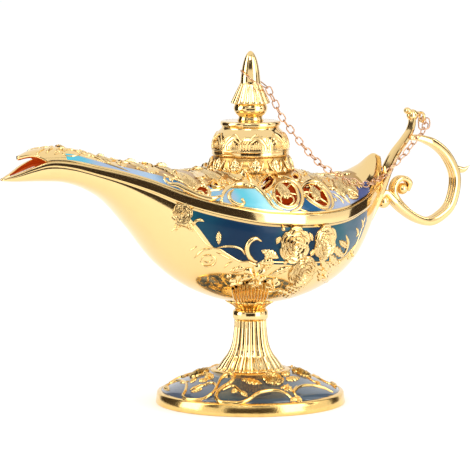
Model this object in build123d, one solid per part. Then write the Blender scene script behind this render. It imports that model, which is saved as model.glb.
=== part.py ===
from build123d import *
import math
import os

# An ornamental oil lamp of the genie kind: a cast, gilded and enamelled pointed bowl with
# a long spout, on a fluted stem and a round foot. A pierced cover closes the bowl, a lid
# with a turned finial lifts out of the cover's collar, and a fine chain ties the lid to
# the scrolled handle. Millimetres, +Z up. The origin is on the floor at the centre of the
# foot; the spout points along -X and the handle along +X.

os.makedirs("parts", exist_ok=True)


# Sizes that several pieces share

overrun = 4.0               # how far a cutting solid runs past what it cuts
running_gap = 1.2           # between the lid's flange and the collar's bore
seat_gap = 0.1              # between the lid and the collar it rests on
touch_gap = 0.15            # where loose wires rest
link_gap = 0.4              # between the wires of two links

# Heights of the stack, from the floor up
foot_height = 14.4
stem_height = 20.7
neck_ring_height = 4.4
calyx_height = 3.0          # from the neck ring to the lowest point of the bowl

stem_foot_z = foot_height
stem_top_z = stem_foot_z + stem_height
neck_ring_top_z = stem_top_z + neck_ring_height
body_base_z = neck_ring_top_z + calyx_height


# Lines of the body

spout_reach = 113.0         # from the axis to the tip of the lip
tail_reach = 62.3           # from the axis to the tail, where the handle is rooted
body_half_width = 35.0
body_rise = 64.0            # from the lowest point of the bowl to the spout's rim
band_height = 4.6           # the polished rim band
band_proud = 0.9
bowl_wall = 1.6
cover_wall = 1.6
enamel_depth = 0.6

quarter_steps = 6           # flat facets on a quarter of a section
bay_steps = 2               # facets from one row of the tables to the next
round_sides = 32            # of the turned pieces
wide_sides = 36             # of the foot
screw_sides = 10

# One row for each cross-section, as shares: place along the body (minus for the spout
# side), half width, rim, height of the rim band, keel, and crown of the cover.
lip_shares = [
    (-1.000, 0.020, 0.889, 0.11, 0.877, 0.994),
    (-0.956, 0.091, 0.920, 0.22, 0.870, 1.016),
    (-0.903, 0.177, 0.963, 0.30, 0.867, 1.053),
]
hood_shares = [
    (-0.934, 0.160, 0.997, 0.40, 0.866, 1.031),
    (-0.885, 0.209, 1.003, 0.40, 0.865, 1.066),
]
body_shares = [
    (-0.841, 0.231, 0.998, 0.43, 0.863, 1.075),
    (-0.761, 0.274, 0.988, 0.52, 0.850, 1.078),
    (-0.673, 0.340, 0.953, 0.65, 0.798, 1.028),
    (-0.584, 0.437, 0.913, 0.78, 0.700, 0.988),
    (-0.487, 0.557, 0.859, 0.91, 0.517, 0.950),
    (-0.372, 0.720, 0.775, 0.98, 0.275, 0.913),
    (-0.239, 0.891, 0.705, 1.00, 0.108, 0.881),
    (-0.071, 0.994, 0.647, 1.00, 0.012, 0.892),
    (0.193, 0.977, 0.625, 1.00, 0.000, 0.892),
    (0.482, 0.780, 0.630, 1.00, 0.075, 0.822),
    (0.706, 0.526, 0.670, 1.00, 0.202, 0.819),
    (0.851, 0.314, 0.712, 0.96, 0.388, 0.878),
    (0.939, 0.166, 0.739, 0.87, 0.588, 0.944),
    (1.000, 0.054, 0.753, 0.65, 0.712, 0.923),
]
flatness = 0.000001         # a facet flatter than this is left whole


def smooth(rows):
    """The rows with bay_steps - 1 more between each two, on cubic curves through them."""
    slopes = []
    for i in range(len(rows)):
        near, far = rows[max(i - 1, 0)], rows[min(i + 1, len(rows) - 1)]
        slopes.append([(b - a) / (far[0] - near[0]) for a, b in zip(near, far)])
    filled = []
    for i in range(len(rows) - 1):
        bay = rows[i + 1][0] - rows[i][0]
        for step in range(bay_steps):
            t = step / bay_steps
            rise = t * t * (3 - 2 * t)
            leave, arrive = t * (1 - t) ** 2 * bay, t * t * (t - 1) * bay
            columns = zip(rows[i], rows[i + 1], slopes[i], slopes[i + 1])
            filled.append([a + (b - a) * rise + m * leave + n * arrive for a, b, m, n in columns])
    return filled + [rows[-1]]


def along(x_share):
    """Place along the body for a share of the spout's or the tail's reach."""
    return x_share * (spout_reach if x_share < 0 else tail_reach)


def level(height_share):
    """Height for a share of the body's rise."""
    return body_base_z + height_share * body_rise


class Station:
    """One cross-section of the body, with its width and the heights of its lines."""

    def __init__(self, shares):
        x_share, width_share, rim_share, band_share, keel_share, crown_share = shares
        self.x = along(x_share)
        self.half_width = width_share * body_half_width
        self.rim = level(rim_share)
        self.spring = self.rim - band_share * band_height
        self.keel = level(keel_share)
        self.crown = level(crown_share)


bowl_stations = [Station(row) for row in smooth(lip_shares + body_shares)]
cover_stations = [Station(row) for row in smooth(hood_shares + body_shares)]
bowl_inner_stations = bowl_stations[bay_steps:-bay_steps:bay_steps]
cover_inner_stations = cover_stations[:-bay_steps:bay_steps]


def flat_face(points):
    """A flat face through points."""
    return Face(Wire.make_polygon(points))


def faceted(rings, looped=False):
    """A solid of flat facets through rings of points, closed by its end rings or on itself."""
    faces = [] if looped else [flat_face(rings[0]), flat_face(rings[-1])]
    following = rings[1:] + rings[:1] if looped else rings[1:]
    for low, high in zip(rings, following):
        for i in range(len(low)):
            a, b, c, d = low[i], low[i - 1], high[i - 1], high[i]
            square = (b - a).cross(c - a)
            if abs(square.dot(d - a)) < flatness * square.length:
                faces.append(flat_face([a, b, c, d]))
            else:
                faces += [flat_face([a, b, c]), flat_face([a, c, d])]
    return Solid(Shell(faces))


def section(x, spring, half_width, rise, corners):
    """A closed ring: half an ellipse springing at one height, closed through corners."""
    ring = []
    for step in range(2 * quarter_steps + 1):
        angle = math.pi / 2 * step / quarter_steps
        ring.append(Vector(x, half_width * math.cos(angle), spring + rise * math.sin(angle)))
    return ring + [Vector(x, y, z) for y, z in corners]


def belly(stations, inset):
    """The lower half of the body, pulled in by inset and carried on above the rim."""
    rings = []
    for s in stations:
        side = s.half_width - inset
        corners = [(-side, s.rim + overrun), (side, s.rim + overrun)]
        rings.append(section(s.x, s.spring, side, s.keel + inset - s.spring, corners))
    return faceted(rings)


def dome(stations, inset):
    """The upper half of the body, pulled in by inset and carried on below the rim."""
    rings = []
    for s in stations:
        side = s.half_width - inset
        spring = s.rim - band_proud
        corners = [(-side, s.rim - overrun), (side, s.rim - overrun)]
        rings.append(section(s.x, spring, side, s.crown - inset - spring, corners))
    return faceted(rings)


def side_prism(outline, inner_y, outer_y):
    """A prism along Y over an outline in the XZ plane, between two distances from it."""
    face = Plane.XZ * outline
    return extrude(face.moved(Location((0, inner_y, 0))), outer_y - inner_y, dir=(0, 1, 0))


def rim_side(way):
    """All the room above the rim line (way 1) or below it (way -1), as a cutting solid."""
    line = [(s.x, s.rim) for s in bowl_stations]
    line = [(line[0][0] - overrun, line[0][1])] + line + [(line[-1][0] + overrun, line[-1][1])]
    far = level(1.0 if way > 0 else 0.0) + way * body_rise
    outline = make_face(Polyline(*line, (line[-1][0], far), (line[0][0], far), close=True))
    reach = body_half_width + overrun
    return side_prism(outline, -reach, reach)


def turned(levels, sides, flute_share=0.0):
    """Rings of points through (radius, height) levels about the lamp's axis, fluted or plain."""
    rings = []
    for radius, height in levels:
        ring = []
        for step in range(sides):
            angle = 2 * math.pi * step / sides
            reach = radius * (1 - flute_share * (step % 2))
            ring.append(Vector(reach * math.cos(angle), reach * math.sin(angle), height))
        rings.append(ring)
    return rings


def post(radius, low_z, high_z, sides):
    """A straight round post on the lamp's axis."""
    return faceted(turned([(radius, low_z), (radius, high_z)], sides))


# The tie screw that holds foot, stem, neck ring and calyx to the bowl

screw_radius = 2.0
screw_hole_radius = 2.4
screw_head_radius = 4.0
screw_head_height = 2.6
washer_radius = 5.2
washer_thickness = 0.8
hub_clearance_z = 2.2       # from the floor to the head of the screw
boss_radius = 5.0
boss_height = 7.0

shank_start_z = hub_clearance_z + screw_head_height
hub_bottom_z = shank_start_z + washer_thickness
boss_top_z = body_base_z + bowl_wall + boss_height

tie_screw = post(screw_head_radius, hub_clearance_z, shank_start_z, screw_sides)
tie_screw += post(screw_radius, shank_start_z, boss_top_z, screw_sides)
screw_washer = post(washer_radius, shank_start_z, hub_bottom_z, screw_sides)
screw_washer -= post(screw_radius, shank_start_z, hub_bottom_z, screw_sides)


def screw_hole(low_z, high_z):
    """A clearance hole on the lamp's axis for the tie screw."""
    return post(screw_hole_radius, low_z - overrun, high_z + overrun, screw_sides)


# The foot and its enamel

foot_radius = 39.9
foot_edge_height = 4.5
foot_wall = 2.2
foot_hub_radius = 7.5
foot_land_radius = 15.4     # the flat on top, on which the stem stands
foot_slope_shares = [(0.945, 0.375), (0.850, 0.521), (0.664, 0.701), (0.509, 0.865), (0.420, 0.970)]
foot_slope_steps = 4

foot_curve = Spline(*[(r * foot_radius, z * foot_height) for r, z in foot_slope_shares])
slope = []
for step in range(foot_slope_steps + 1):
    place = foot_curve @ (step / foot_slope_steps)
    slope.append((place.X, place.Y))
enamel_bed = [(r, z - enamel_depth) for r, z in slope]
roof = [(r, z - foot_wall) for r, z in slope[1:]]
foot_path = [
    (foot_hub_radius, hub_bottom_z), (foot_hub_radius, roof[-1][1]), *reversed(roof),
    (foot_radius - foot_wall, roof[0][1] - foot_wall), (foot_radius - foot_wall, 0),
    (foot_radius, 0), (foot_radius, foot_edge_height), slope[0],
    *enamel_bed, slope[-1], (foot_land_radius, foot_height),
]
foot = faceted(turned(foot_path, wide_sides))
foot -= screw_hole(hub_bottom_z, foot_height)
foot_enamel = faceted(turned(slope + enamel_bed[::-1], wide_sides), looped=True)


# The fluted stem, the neck ring and the fluted calyx under the bowl

flute_count = 20
stem_foot_radius = 14.8
stem_flute_share = 0.085
stem_profile_shares = [(1.0, 0.0), (0.77, 0.19), (0.58, 0.40), (0.49, 0.69), (0.46, 1.0)]
neck_ring_radius = 7.5
neck_ring_round = 0.8
calyx_foot_radius = 6.4
calyx_flute_share = 0.09
calyx_profile_shares = [(1.0, 0.0), (1.3, 0.9), (2.5, 3.0)]

stem_levels = [(r * stem_foot_radius, stem_foot_z + z * stem_height) for r, z in stem_profile_shares]
stem = faceted(turned(stem_levels, 2 * flute_count, stem_flute_share))
stem -= screw_hole(stem_foot_z, stem_top_z)

neck_ring_flat = neck_ring_radius - neck_ring_round
neck_ring_levels = [
    (neck_ring_flat, stem_top_z), (neck_ring_radius, stem_top_z + neck_ring_round),
    (neck_ring_radius, neck_ring_top_z - neck_ring_round), (neck_ring_flat, neck_ring_top_z),
]
neck_ring = faceted(turned(neck_ring_levels, round_sides))
neck_ring -= screw_hole(stem_top_z, neck_ring_top_z)

band_rings = []
for s in bowl_stations:
    edge, top = s.half_width + band_proud, s.rim + overrun
    corners = [(-edge, s.spring), (-edge, top), (edge, top), (edge, s.spring)]
    band_rings.append(section(s.x, s.spring, s.half_width, s.keel - s.spring, corners))
bowl_outside = faceted(band_rings) - rim_side(1)

calyx_levels = [
    (r * calyx_foot_radius, neck_ring_top_z + z * calyx_height) for r, z in calyx_profile_shares
]
calyx = faceted(turned(calyx_levels, 2 * flute_count, calyx_flute_share))
calyx -= screw_hole(neck_ring_top_z, body_base_z)
calyx -= bowl_outside
calyx = calyx.solids().sort_by(Axis.Z)[0]


# The bowl with its spout, and the two enamel fields on its sides

bowl_enamel_outline_shares = [
    (-0.40, 0.700), (-0.33, 0.560), (-0.28, 0.440), (-0.19, 0.345), (0.00, 0.300),
    (0.28, 0.270), (0.52, 0.300), (0.70, 0.410), (0.76, 0.520),
]
enamel_margin = 1.0         # bare metal between the enamel and the rim band
enamel_bed_start_share = -0.80
enamel_bed_end_share = 0.93

bed_start, bed_end = along(enamel_bed_start_share), along(enamel_bed_end_share)
bowl_core = belly([s for s in bowl_stations if bed_start < s.x < bed_end], enamel_depth)
lower_edge = [(along(x), level(z)) for x, z in bowl_enamel_outline_shares]
upper_edge = [
    (s.x, s.spring - enamel_margin)
    for s in reversed(bowl_stations)
    if lower_edge[0][0] < s.x < lower_edge[-1][0]
]
bowl_field = make_face(Polyline(*lower_edge, *upper_edge, close=True))
field_reach = body_half_width + overrun
front_layer = (bowl_outside & side_prism(bowl_field, 0, -field_reach)) - bowl_core
back_layer = (bowl_outside & side_prism(bowl_field, 0, field_reach)) - bowl_core

bowl = bowl_outside - belly(bowl_inner_stations, bowl_wall)
bowl += post(boss_radius, body_base_z + bowl_wall / 2, boss_top_z, round_sides)
bowl = bowl - front_layer - back_layer
bowl -= post(screw_radius, body_base_z - overrun, boss_top_z, screw_sides)


# The pierced cover with its enamel, and the collar soldered on its crown

collar_foot_radius = 17.6
collar_top_radius = 15.8
collar_foot_share = 0.892
collar_height = 5.0
lid_bore_radius = 13.2
window_frame = 1.1          # gold left round each pierced window
window_sides = 8
mouth_back_share = -0.855   # where the hood's open edge leaves the rim
mouth_front_share = -0.942
mouth_front_level_share = 1.028
cover_enamel_start_share = -0.70
cover_enamel_end_share = 0.80
cover_enamel_height_share = 0.42

# Windows on each side: place along the body, turn of the arch from rim to crown, radius of
# the round end, radius of the narrow end and the distance between them (as shares of the
# body's half width), and the slant in degrees.
window_shares = [
    (0.050, 0.27, 0.105, 0.030, 0.22, 140),
    (0.260, 0.27, 0.085, 0.030, 0.22, 125),
    (-0.030, 0.57, 0.050, 0.030, 0.13, 20),
    (-0.310, 0.30, 0.050, 0.025, 0.13, 160),
    (-0.225, 0.50, 0.050, 0.025, 0.12, 150),
    (0.560, 0.33, 0.050, 0.025, 0.13, 145),
]

collar_foot_z = level(collar_foot_share)
collar_top_z = collar_foot_z + collar_height


def arch_point(x, turn_share, side):
    """A point on the cover's outside and the direction straight out of it there."""
    before = [s for s in cover_stations if s.x <= x][-1]
    after = [s for s in cover_stations if s.x > x][0]
    share = (x - before.x) / (after.x - before.x)
    half_width = before.half_width + share * (after.half_width - before.half_width)
    rim = before.rim + share * (after.rim - before.rim)
    crown = before.crown + share * (after.crown - before.crown)
    angle = turn_share * math.pi / 2
    point = Vector(x, side * half_width * math.cos(angle), rim + (crown - rim) * math.sin(angle))
    out = Vector(0, side * math.cos(angle) / half_width, math.sin(angle) / (crown - rim))
    return point, out.normalized()


def windows(side, grow):
    """The cutters of all windows on one side, each grown by grow all round."""
    cutters = []
    for x_share, turn_share, wide, narrow, spread, slant in window_shares:
        point, out = arch_point(along(x_share), turn_share, side)
        plane = Plane(origin=point, x_dir=(1, 0, 0), z_dir=out)
        round_end = RegularPolygon(wide * body_half_width + grow, window_sides)
        narrow_end = RegularPolygon(narrow * body_half_width + grow, window_sides)
        narrow_end = Pos(spread * body_half_width, 0) * narrow_end
        outline = make_hull(round_end.edges() + narrow_end.edges())
        face = plane * Rot(0, 0, side * -slant) * outline
        cutters.append(extrude(face, overrun, dir=out, both=True))
    return cutters


cover_outside = dome(cover_stations, 0) - rim_side(-1)
collar_levels = [
    (collar_foot_radius, collar_foot_z - collar_height), (collar_foot_radius, collar_foot_z),
    (collar_top_radius, collar_top_z),
]
lid_bore = post(lid_bore_radius, collar_foot_z - 2 * collar_height, collar_top_z + overrun, round_sides)
collar = faceted(turned(collar_levels, round_sides)) - dome(cover_stations, 0) - lid_bore
cover_core = dome([s for s in cover_stations if bed_start < s.x < bed_end], enamel_depth)
start_x = along(cover_enamel_start_share)
end_x = along(cover_enamel_end_share)
strip_stations = [s for s in cover_stations if start_x < s.x < end_x]
strip_low = [(s.x, s.rim + enamel_margin) for s in strip_stations]
strip_high = [(s.x, s.rim + cover_enamel_height_share * (s.crown - s.rim)) for s in strip_stations]
cover_field = make_face(Polyline(*strip_low, *reversed(strip_high), close=True))
cover_layers = {}
for name, side in (("front", -1), ("back", 1)):
    layer = (cover_outside & side_prism(cover_field, 0, side * field_reach)) - cover_core
    for cutter in windows(side, window_frame):
        layer -= cutter
    cover_layers[name] = layer

cover = cover_outside - cover_layers["front"] - cover_layers["back"]
cover -= dome(cover_inner_stations, cover_wall)
for side in (-1, 1):
    for cutter in windows(side, 0):
        cover -= cutter
cover -= lid_bore
mouth_foot = (along(mouth_back_share), level(1.0) - overrun)
mouth_tip = (along(mouth_front_share), level(mouth_front_level_share))
mouth_outline = make_face(
    Polyline(
        mouth_foot,
        mouth_tip,
        (mouth_tip[0] - overrun, mouth_tip[1]),
        (mouth_tip[0] - overrun, mouth_foot[1]),
        close=True,
    )
)
cover -= side_prism(mouth_outline, -body_half_width, body_half_width)


# The lid with the flange that drops into the collar, its disc and its finial

lid_radius = 16.2
lid_height = 12.1           # from its seat on the collar to the disc
lid_wall = 1.8
flange_depth = 3.5          # below the lid's edge
flange_grip = 3.0           # inside the lid
disc_radius = 12.6
disc_height = 2.2
finial_height = 29.2
finial_screw_radius = 1.5
finial_screw_head_radius = 3.0
finial_screw_head_height = 1.8
finial_screw_reach = 9.0
lid_profile_shares = [(0.99, 0.0), (1.0, 0.17), (0.985, 0.43), (0.905, 0.71), (0.82, 0.85), (0.73, 0.93)]
knop_radius = 7.1
knop_shares = [
    (0.77, 0.0), (0.69, 0.05), (0.80, 0.08), (0.93, 0.12), (1.0, 0.17), (0.98, 0.22), (0.90, 0.25),
]
skirt_radius = 8.3
skirt_shares = [(1.0, 0.25), (0.77, 0.40), (0.53, 0.52)]
spire_shares = [
    (0.53, 0.52), (0.48, 0.65), (0.41, 0.78), (0.31, 0.88), (0.18, 0.96), (0.07, 1.0),
]
rib_count = 14
rib_depth_share = 0.12

lid_seat_z = collar_top_z + seat_gap
lid_top_z = lid_seat_z + lid_height
disc_top_z = lid_top_z + disc_height
flange_radius = lid_bore_radius - running_gap
lid_inner = flange_radius - lid_wall
hollow_top_z = lid_top_z - lid_wall

dome_line = [(r * lid_radius, lid_seat_z + z * lid_height) for r, z in lid_profile_shares]
lid_path = [
    (lid_inner / 2, hollow_top_z),
    (lid_inner, lid_seat_z + lid_height / 2),
    (lid_inner, lid_seat_z + flange_grip),
    (flange_radius, lid_seat_z + flange_grip),
    (flange_radius, lid_seat_z),
    *dome_line,
    (dome_line[-1][0], lid_top_z),
]
lid = faceted(turned(lid_path, round_sides))
flange_path = [
    (lid_inner, lid_seat_z - flange_depth), (flange_radius, lid_seat_z - flange_depth),
    (flange_radius, lid_seat_z + flange_grip), (lid_inner, lid_seat_z + flange_grip),
]
lid_flange = faceted(turned(flange_path, round_sides), looped=True)
disc_flat = disc_radius - disc_height / 4
disc_levels = [
    (disc_flat, lid_top_z), (disc_radius, lid_top_z + disc_height / 3),
    (disc_radius, disc_top_z - disc_height / 3), (disc_flat, disc_top_z),
]
lid_disc = faceted(turned(disc_levels, round_sides))


def finial_levels(radius, shares):
    """Levels of the finial for one named radius."""
    return [(r * radius, disc_top_z + z * finial_height) for r, z in shares]


finial = faceted(turned(finial_levels(knop_radius, knop_shares), 2 * rib_count))
finial += faceted(turned(finial_levels(skirt_radius, skirt_shares), 2 * rib_count, rib_depth_share))
finial += faceted(turned(finial_levels(skirt_radius, spire_shares), 2 * rib_count))
finial_screw = post(
    finial_screw_head_radius, hollow_top_z - finial_screw_head_height, hollow_top_z, screw_sides
)
finial_screw += post(finial_screw_radius, hollow_top_z, disc_top_z + finial_screw_reach, screw_sides)
lid -= finial_screw
lid_disc -= finial_screw
finial -= finial_screw


# The handle: a faceted strap that climbs from the tail to a small head, a ring that
# springs from its shoulder, two scrolls, and a lug on the head for the chain

handle_reach = 41.0         # from the tail out to the far side of the ring
handle_rise = 50.0          # from the lowest point of the ring to the top of the head
handle_low_share = 0.436    # height of the ring's lowest point on the body
strap_width = 7.0
strap_thickness = 5.0
ring_width = 6.2
ring_thickness = 3.8
scroll_width = 5.4
scroll_thickness = 2.4
volute_eye_radius = 2.4
curl_eye_radius = 2.9
head_radius = 2.6
head_width = 4.4
beak_radius = 1.4
thorn_width = 2.4
lug_radius = 2.5
lug_hole_radius = 1.5
lug_thickness = 1.0
rivet_radius = 1.1
rivet_head_radius = 2.0
rivet_head_height = 1.4
rivet_reach = 5.6           # from the inside of the tail into the strap
strap_flat_share = 0.4      # of a broad side
bar_bevel_share = 0.3       # of the bar's thickness
strap_steps = 12
ring_steps = 22
scroll_steps = 11
button_sides = 12

# Places on the handle as shares of its reach and rise; the strap also has its girth
strap_shares = [
    (-0.15, 0.08, 0.80), (-0.07, 0.21, 0.92), (0.00, 0.34, 1.00), (0.07, 0.48, 1.00), (0.17, 0.63, 0.98),
    (0.28, 0.74, 0.88), (0.35, 0.82, 0.78), (0.38, 0.89, 0.70), (0.38, 0.94, 0.62),
]
ring_shares = [
    (0.34, 0.77), (0.48, 0.76), (0.64, 0.71), (0.785, 0.612), (0.89, 0.462), (0.902, 0.332),
    (0.841, 0.168), (0.717, 0.076), (0.588, 0.038), (0.434, 0.070), (0.268, 0.156), (0.151, 0.242),
    (0.085, 0.300), (0.035, 0.300), (0.000, 0.240),
]
volute_shares = [
    (0.370, 0.110), (0.230, 0.215), (0.154, 0.318), (0.190, 0.400), (0.271, 0.424), (0.339, 0.384),
    (0.330, 0.310),
]
thorn_shares = [
    (0.89, 0.56), (0.99, 0.500), (1.04, 0.492), (1.09, 0.510), (1.06, 0.462), (0.99, 0.445), (0.92, 0.43),
]
volute_eye_share = (0.265, 0.332)
curl_eye_share = (0.040, 0.230)
head_share = (0.385, 0.960)
beak_share = (0.325, 1.000)
lug_share = (0.500, 0.940)
rivet_level_shares = [0.655, 0.825]


def on_handle(x_share, z_share):
    """A point (x, z) of the handle's middle plane."""
    return tail_reach + x_share * handle_reach, level(handle_low_share) + z_share * handle_rise


def across(x, z, tangent):
    """The plane square to a path in the middle plane, with its own x along the lamp's Y."""
    return Plane(origin=(x, 0, z), x_dir=(0, 1, 0), z_dir=tangent)


def bar(places, steps, outline_of):
    """A bar of flat facets along a smooth path in the middle plane.

    outline_of gives the points of its section for a share of the path's length.
    """
    path = Spline(*[(x, 0, z) for x, z in places])
    rings = []
    for step in range(steps + 1):
        share = step / steps
        point = path @ share
        plane = across(point.X, point.Z, path % share)
        rings.append([plane.from_local_coords(Vector(y, w, 0)) for y, w in outline_of(share)])
    return faceted(rings)


def strap_outline(share):
    """A flat on each broad side and an edge along each narrow side, thinner towards the head."""
    place = share * (len(strap_girths) - 1)
    before = min(int(place), len(strap_girths) - 2)
    girth = strap_girths[before] + (place - before) * (strap_girths[before + 1] - strap_girths[before])
    half, deep = girth * strap_width / 2, girth * strap_thickness / 2
    flat = strap_flat_share * half
    return [(half, 0), (flat, deep), (-flat, deep), (-half, 0), (-flat, -deep), (flat, -deep)]


def bevelled(width, thickness):
    """The outline of a bar with its four corners cut off."""
    half, deep = width / 2, thickness / 2
    cut = bar_bevel_share * thickness
    corner = [(half, deep - cut), (half - cut, deep)]
    corner += [(-y, w) for y, w in reversed(corner)]
    return corner + [(-y, -w) for y, w in corner]


def button(place, radius, width):
    """A round boss across the handle at one of its places."""
    x, z = on_handle(*place)
    boss_plane = Plane(origin=(x, 0, z), x_dir=(1, 0, 0), z_dir=(0, 1, 0))
    return boss_plane * extrude(RegularPolygon(radius, button_sides), width / 2, both=True)


strap_girths = [girth for x, z, girth in strap_shares]
ring_outline = bevelled(ring_width, ring_thickness)
scroll_outline = bevelled(scroll_width, scroll_thickness)
handle = bar([on_handle(x, z) for x, z, girth in strap_shares], strap_steps, strap_outline)
handle += bar([on_handle(*place) for place in ring_shares], ring_steps, lambda share: ring_outline)
handle += bar([on_handle(*place) for place in volute_shares], scroll_steps, lambda share: scroll_outline)
handle += button(volute_eye_share, volute_eye_radius, scroll_width)
handle += button(curl_eye_share, curl_eye_radius, scroll_width)
handle += button(head_share, head_radius, head_width)
handle += button(beak_share, beak_radius, head_width)
thorn = make_face(Polyline(*[on_handle(*place) for place in thorn_shares], close=True))
handle += side_prism(thorn, -thorn_width / 2, thorn_width / 2)

lug_x, lug_z = on_handle(*lug_share)
head_x, head_z = on_handle(*head_share)
lug_plane = Plane(origin=(lug_x, 0, lug_z), x_dir=(0, 1, 0), z_dir=(1, 0, 0))
handle += lug_plane * extrude(RegularPolygon(lug_radius, button_sides), lug_thickness / 2, both=True)
rod_z = lug_z + lug_radius - lug_thickness / 2
rod_plane = Plane(origin=(head_x, 0, rod_z), x_dir=(0, 1, 0), z_dir=(1, 0, 0))
handle += rod_plane * extrude(Rectangle(lug_thickness, lug_thickness), lug_x - head_x)
handle -= lug_plane * extrude(RegularPolygon(lug_hole_radius, button_sides), lug_thickness, both=True)
handle -= bowl_outside
handle -= cover_outside
handle = handle.solids().sort_by(SortBy.VOLUME)[-1]

cavity_end_x = cover_inner_stations[-1].x
handle_rivets = []
for share in rivet_level_shares:
    rivet_plane = Plane(origin=(cavity_end_x, 0, level(share)), x_dir=(0, 1, 0), z_dir=(1, 0, 0))
    head = rivet_plane * extrude(RegularPolygon(rivet_head_radius, screw_sides), -rivet_head_height)
    shank = rivet_plane * extrude(RegularPolygon(rivet_radius, screw_sides), rivet_reach)
    handle_rivets.append(head + shank)
    bowl -= shank
    cover -= shank
    handle -= shank


# The wire loop round the finial, the chain, and the small ring on the handle's lug

wire = 0.6
loop_radius = 6.8
loop_tilt = 33.0            # degrees
loop_turn = -32.0           # degrees from +X to the loop's low side
loop_corners = 24
spire_at_loop_shares = (0.44, 0.72)    # shares of the skirt's radius and the finial's height
link_width = 3.0
link_pitch = 3.15
link_shoulder_share = 0.30
unwind_links = 5            # links over which the chain turns from the loop's way to its own
ring_side = 5.6
ring_drop = 4.6
ring_corner_shares = [(-0.20, 0), (0.60, 0), (0.75, -1), (-0.15, -1)]


def link_outline(length, width):
    """A long oval of six flat sides, with a point at each end."""
    half, side = length / 2, width / 2
    shoulder = half - link_shoulder_share * width
    corners = [(half, 0), (shoulder, side), (-shoulder, side)]
    corners += [(-u, -v) for u, v in corners]
    return make_face(Polyline(*corners, close=True))


def link(length):
    """One flat link of square wire."""
    outline = link_outline(length, link_width)
    outline -= link_outline(length - 2 * wire, link_width - 2 * wire)
    return extrude(outline, wire / 2, both=True)


loop_cos = math.cos(math.radians(loop_tilt))
loop_sin = math.sin(math.radians(loop_tilt))
loop_high_x = -(spire_at_loop_shares[0] * skirt_radius + touch_gap + wire / 2)
loop_high_z = disc_top_z + spire_at_loop_shares[1] * finial_height
loop_x = loop_high_x + loop_radius * loop_cos
loop_z = loop_high_z - loop_radius * loop_sin
loop_plane = Plane(
    origin=(loop_x, 0, loop_z), x_dir=(loop_cos, 0, -loop_sin), z_dir=(loop_sin, 0, loop_cos)
)
loop_outline = RegularPolygon(loop_radius + wire / 2, loop_corners)
loop_outline -= RegularPolygon(loop_radius - wire / 2, loop_corners)
chain_loop = (loop_plane * extrude(loop_outline, wire / 2, both=True)).rotate(Axis.Z, loop_turn)

ring_x, ring_z = lug_x, lug_z - (lug_hole_radius - wire / 2) / 2
ring_corners = [(u * ring_side, v * ring_drop) for u, v in ring_corner_shares]
ring_middle = make_face(Polyline(*ring_corners, close=True))
ring_face = offset(ring_middle, wire / 2, kind=Kind.INTERSECTION)
ring_face -= offset(ring_middle, -wire / 2, kind=Kind.INTERSECTION)
ring_hang_plane = Plane(origin=(ring_x, wire, ring_z), x_dir=(1, 0, 0), z_dir=(0, -1, 0))
chain_ring = ring_hang_plane * extrude(ring_face, wire / 2, both=True)

# The chain's middle line: it hangs from the loop, drapes over the cover's shoulder, and
# climbs beside the strap to the lug. Hanging and climbing places are shares of their
# spans (run, height, sideways); the draped places are shares of the body's sizes.
hang_shares = [
    (0.044, 0.097, 0.16), (0.080, 0.171, 0.36), (0.121, 0.256, 0.47), (0.190, 0.352, 0.51),
    (0.269, 0.443, 0.62), (0.397, 0.586, 0.88), (0.552, 0.730, 0.98), (0.717, 0.853, 0.96),
    (0.866, 0.940, 0.88),
]
drape_shares = [
    (0.555, -0.275, 0.841), (0.588, -0.343, 0.815), (0.630, -0.423, 0.796), (0.690, -0.457, 0.777),
    (0.774, -0.434, 0.766), (0.864, -0.335, 0.780), (0.941, -0.235, 0.792), (0.995, -0.204, 0.821),
]
climb_shares = [
    (0.183, 0.164, 0.00), (0.411, 0.336, 0.08), (0.550, 0.459, 0.15), (0.673, 0.586, 0.21),
    (0.860, 0.725, 0.30), (0.990, 0.862, 0.60),
]


def between(start, end, shares):
    """Points between two ends, each by its own share of the span in x, z and y."""
    span = end - start
    return [start + Vector(x * span.X, y * span.Y, z * span.Z) for x, z, y in shares]


drape = [Vector(along(x), y * body_half_width, level(z)) for x, y, z in drape_shares]
loop_low = Vector(loop_x + loop_radius * loop_cos, 0, loop_z - loop_radius * loop_sin)
loop_low = loop_low.rotate(Axis.Z, loop_turn)
first_way = between(loop_low, drape[0], hang_shares)[0] - loop_low
chain_start = loop_low - first_way.normalized() * (wire + link_gap)
chain_end = Vector(lug_x, -wire, lug_z)
route = [chain_start, *between(chain_start, drape[0], hang_shares), *drape]
route += [*between(drape[-1], chain_end, climb_shares), chain_end]
chain_path = Spline(*route)
end_play = wire + link_gap
link_count = 2 * round((chain_path.length - end_play) / link_pitch / 2) + 1
pitch = (chain_path.length - end_play) / link_count
one_link = link(pitch + 2 * wire + link_gap)
chain_links = []
for index in range(link_count):
    distance = (end_play + pitch) / 2 + index * pitch
    centre = chain_path.position_at(distance, position_mode=PositionMode.LENGTH)
    tangent = chain_path.tangent_at(distance, position_mode=PositionMode.LENGTH)
    turn = loop_turn * max(0, 1 - index / unwind_links)
    level_way = Vector(0, 1, 0).rotate(Axis.Z, turn)
    sideways = (level_way - tangent * tangent.dot(level_way)).normalized()
    flat_way = sideways if index % 2 == 0 else tangent.cross(sideways)
    chain_links.append(Plane(origin=centre, x_dir=tangent, z_dir=flat_way) * one_link)
print(f"chain: {link_count} links, {chain_path.length:.1f} mm along its middle line")


# Every piece in its own named node

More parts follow.
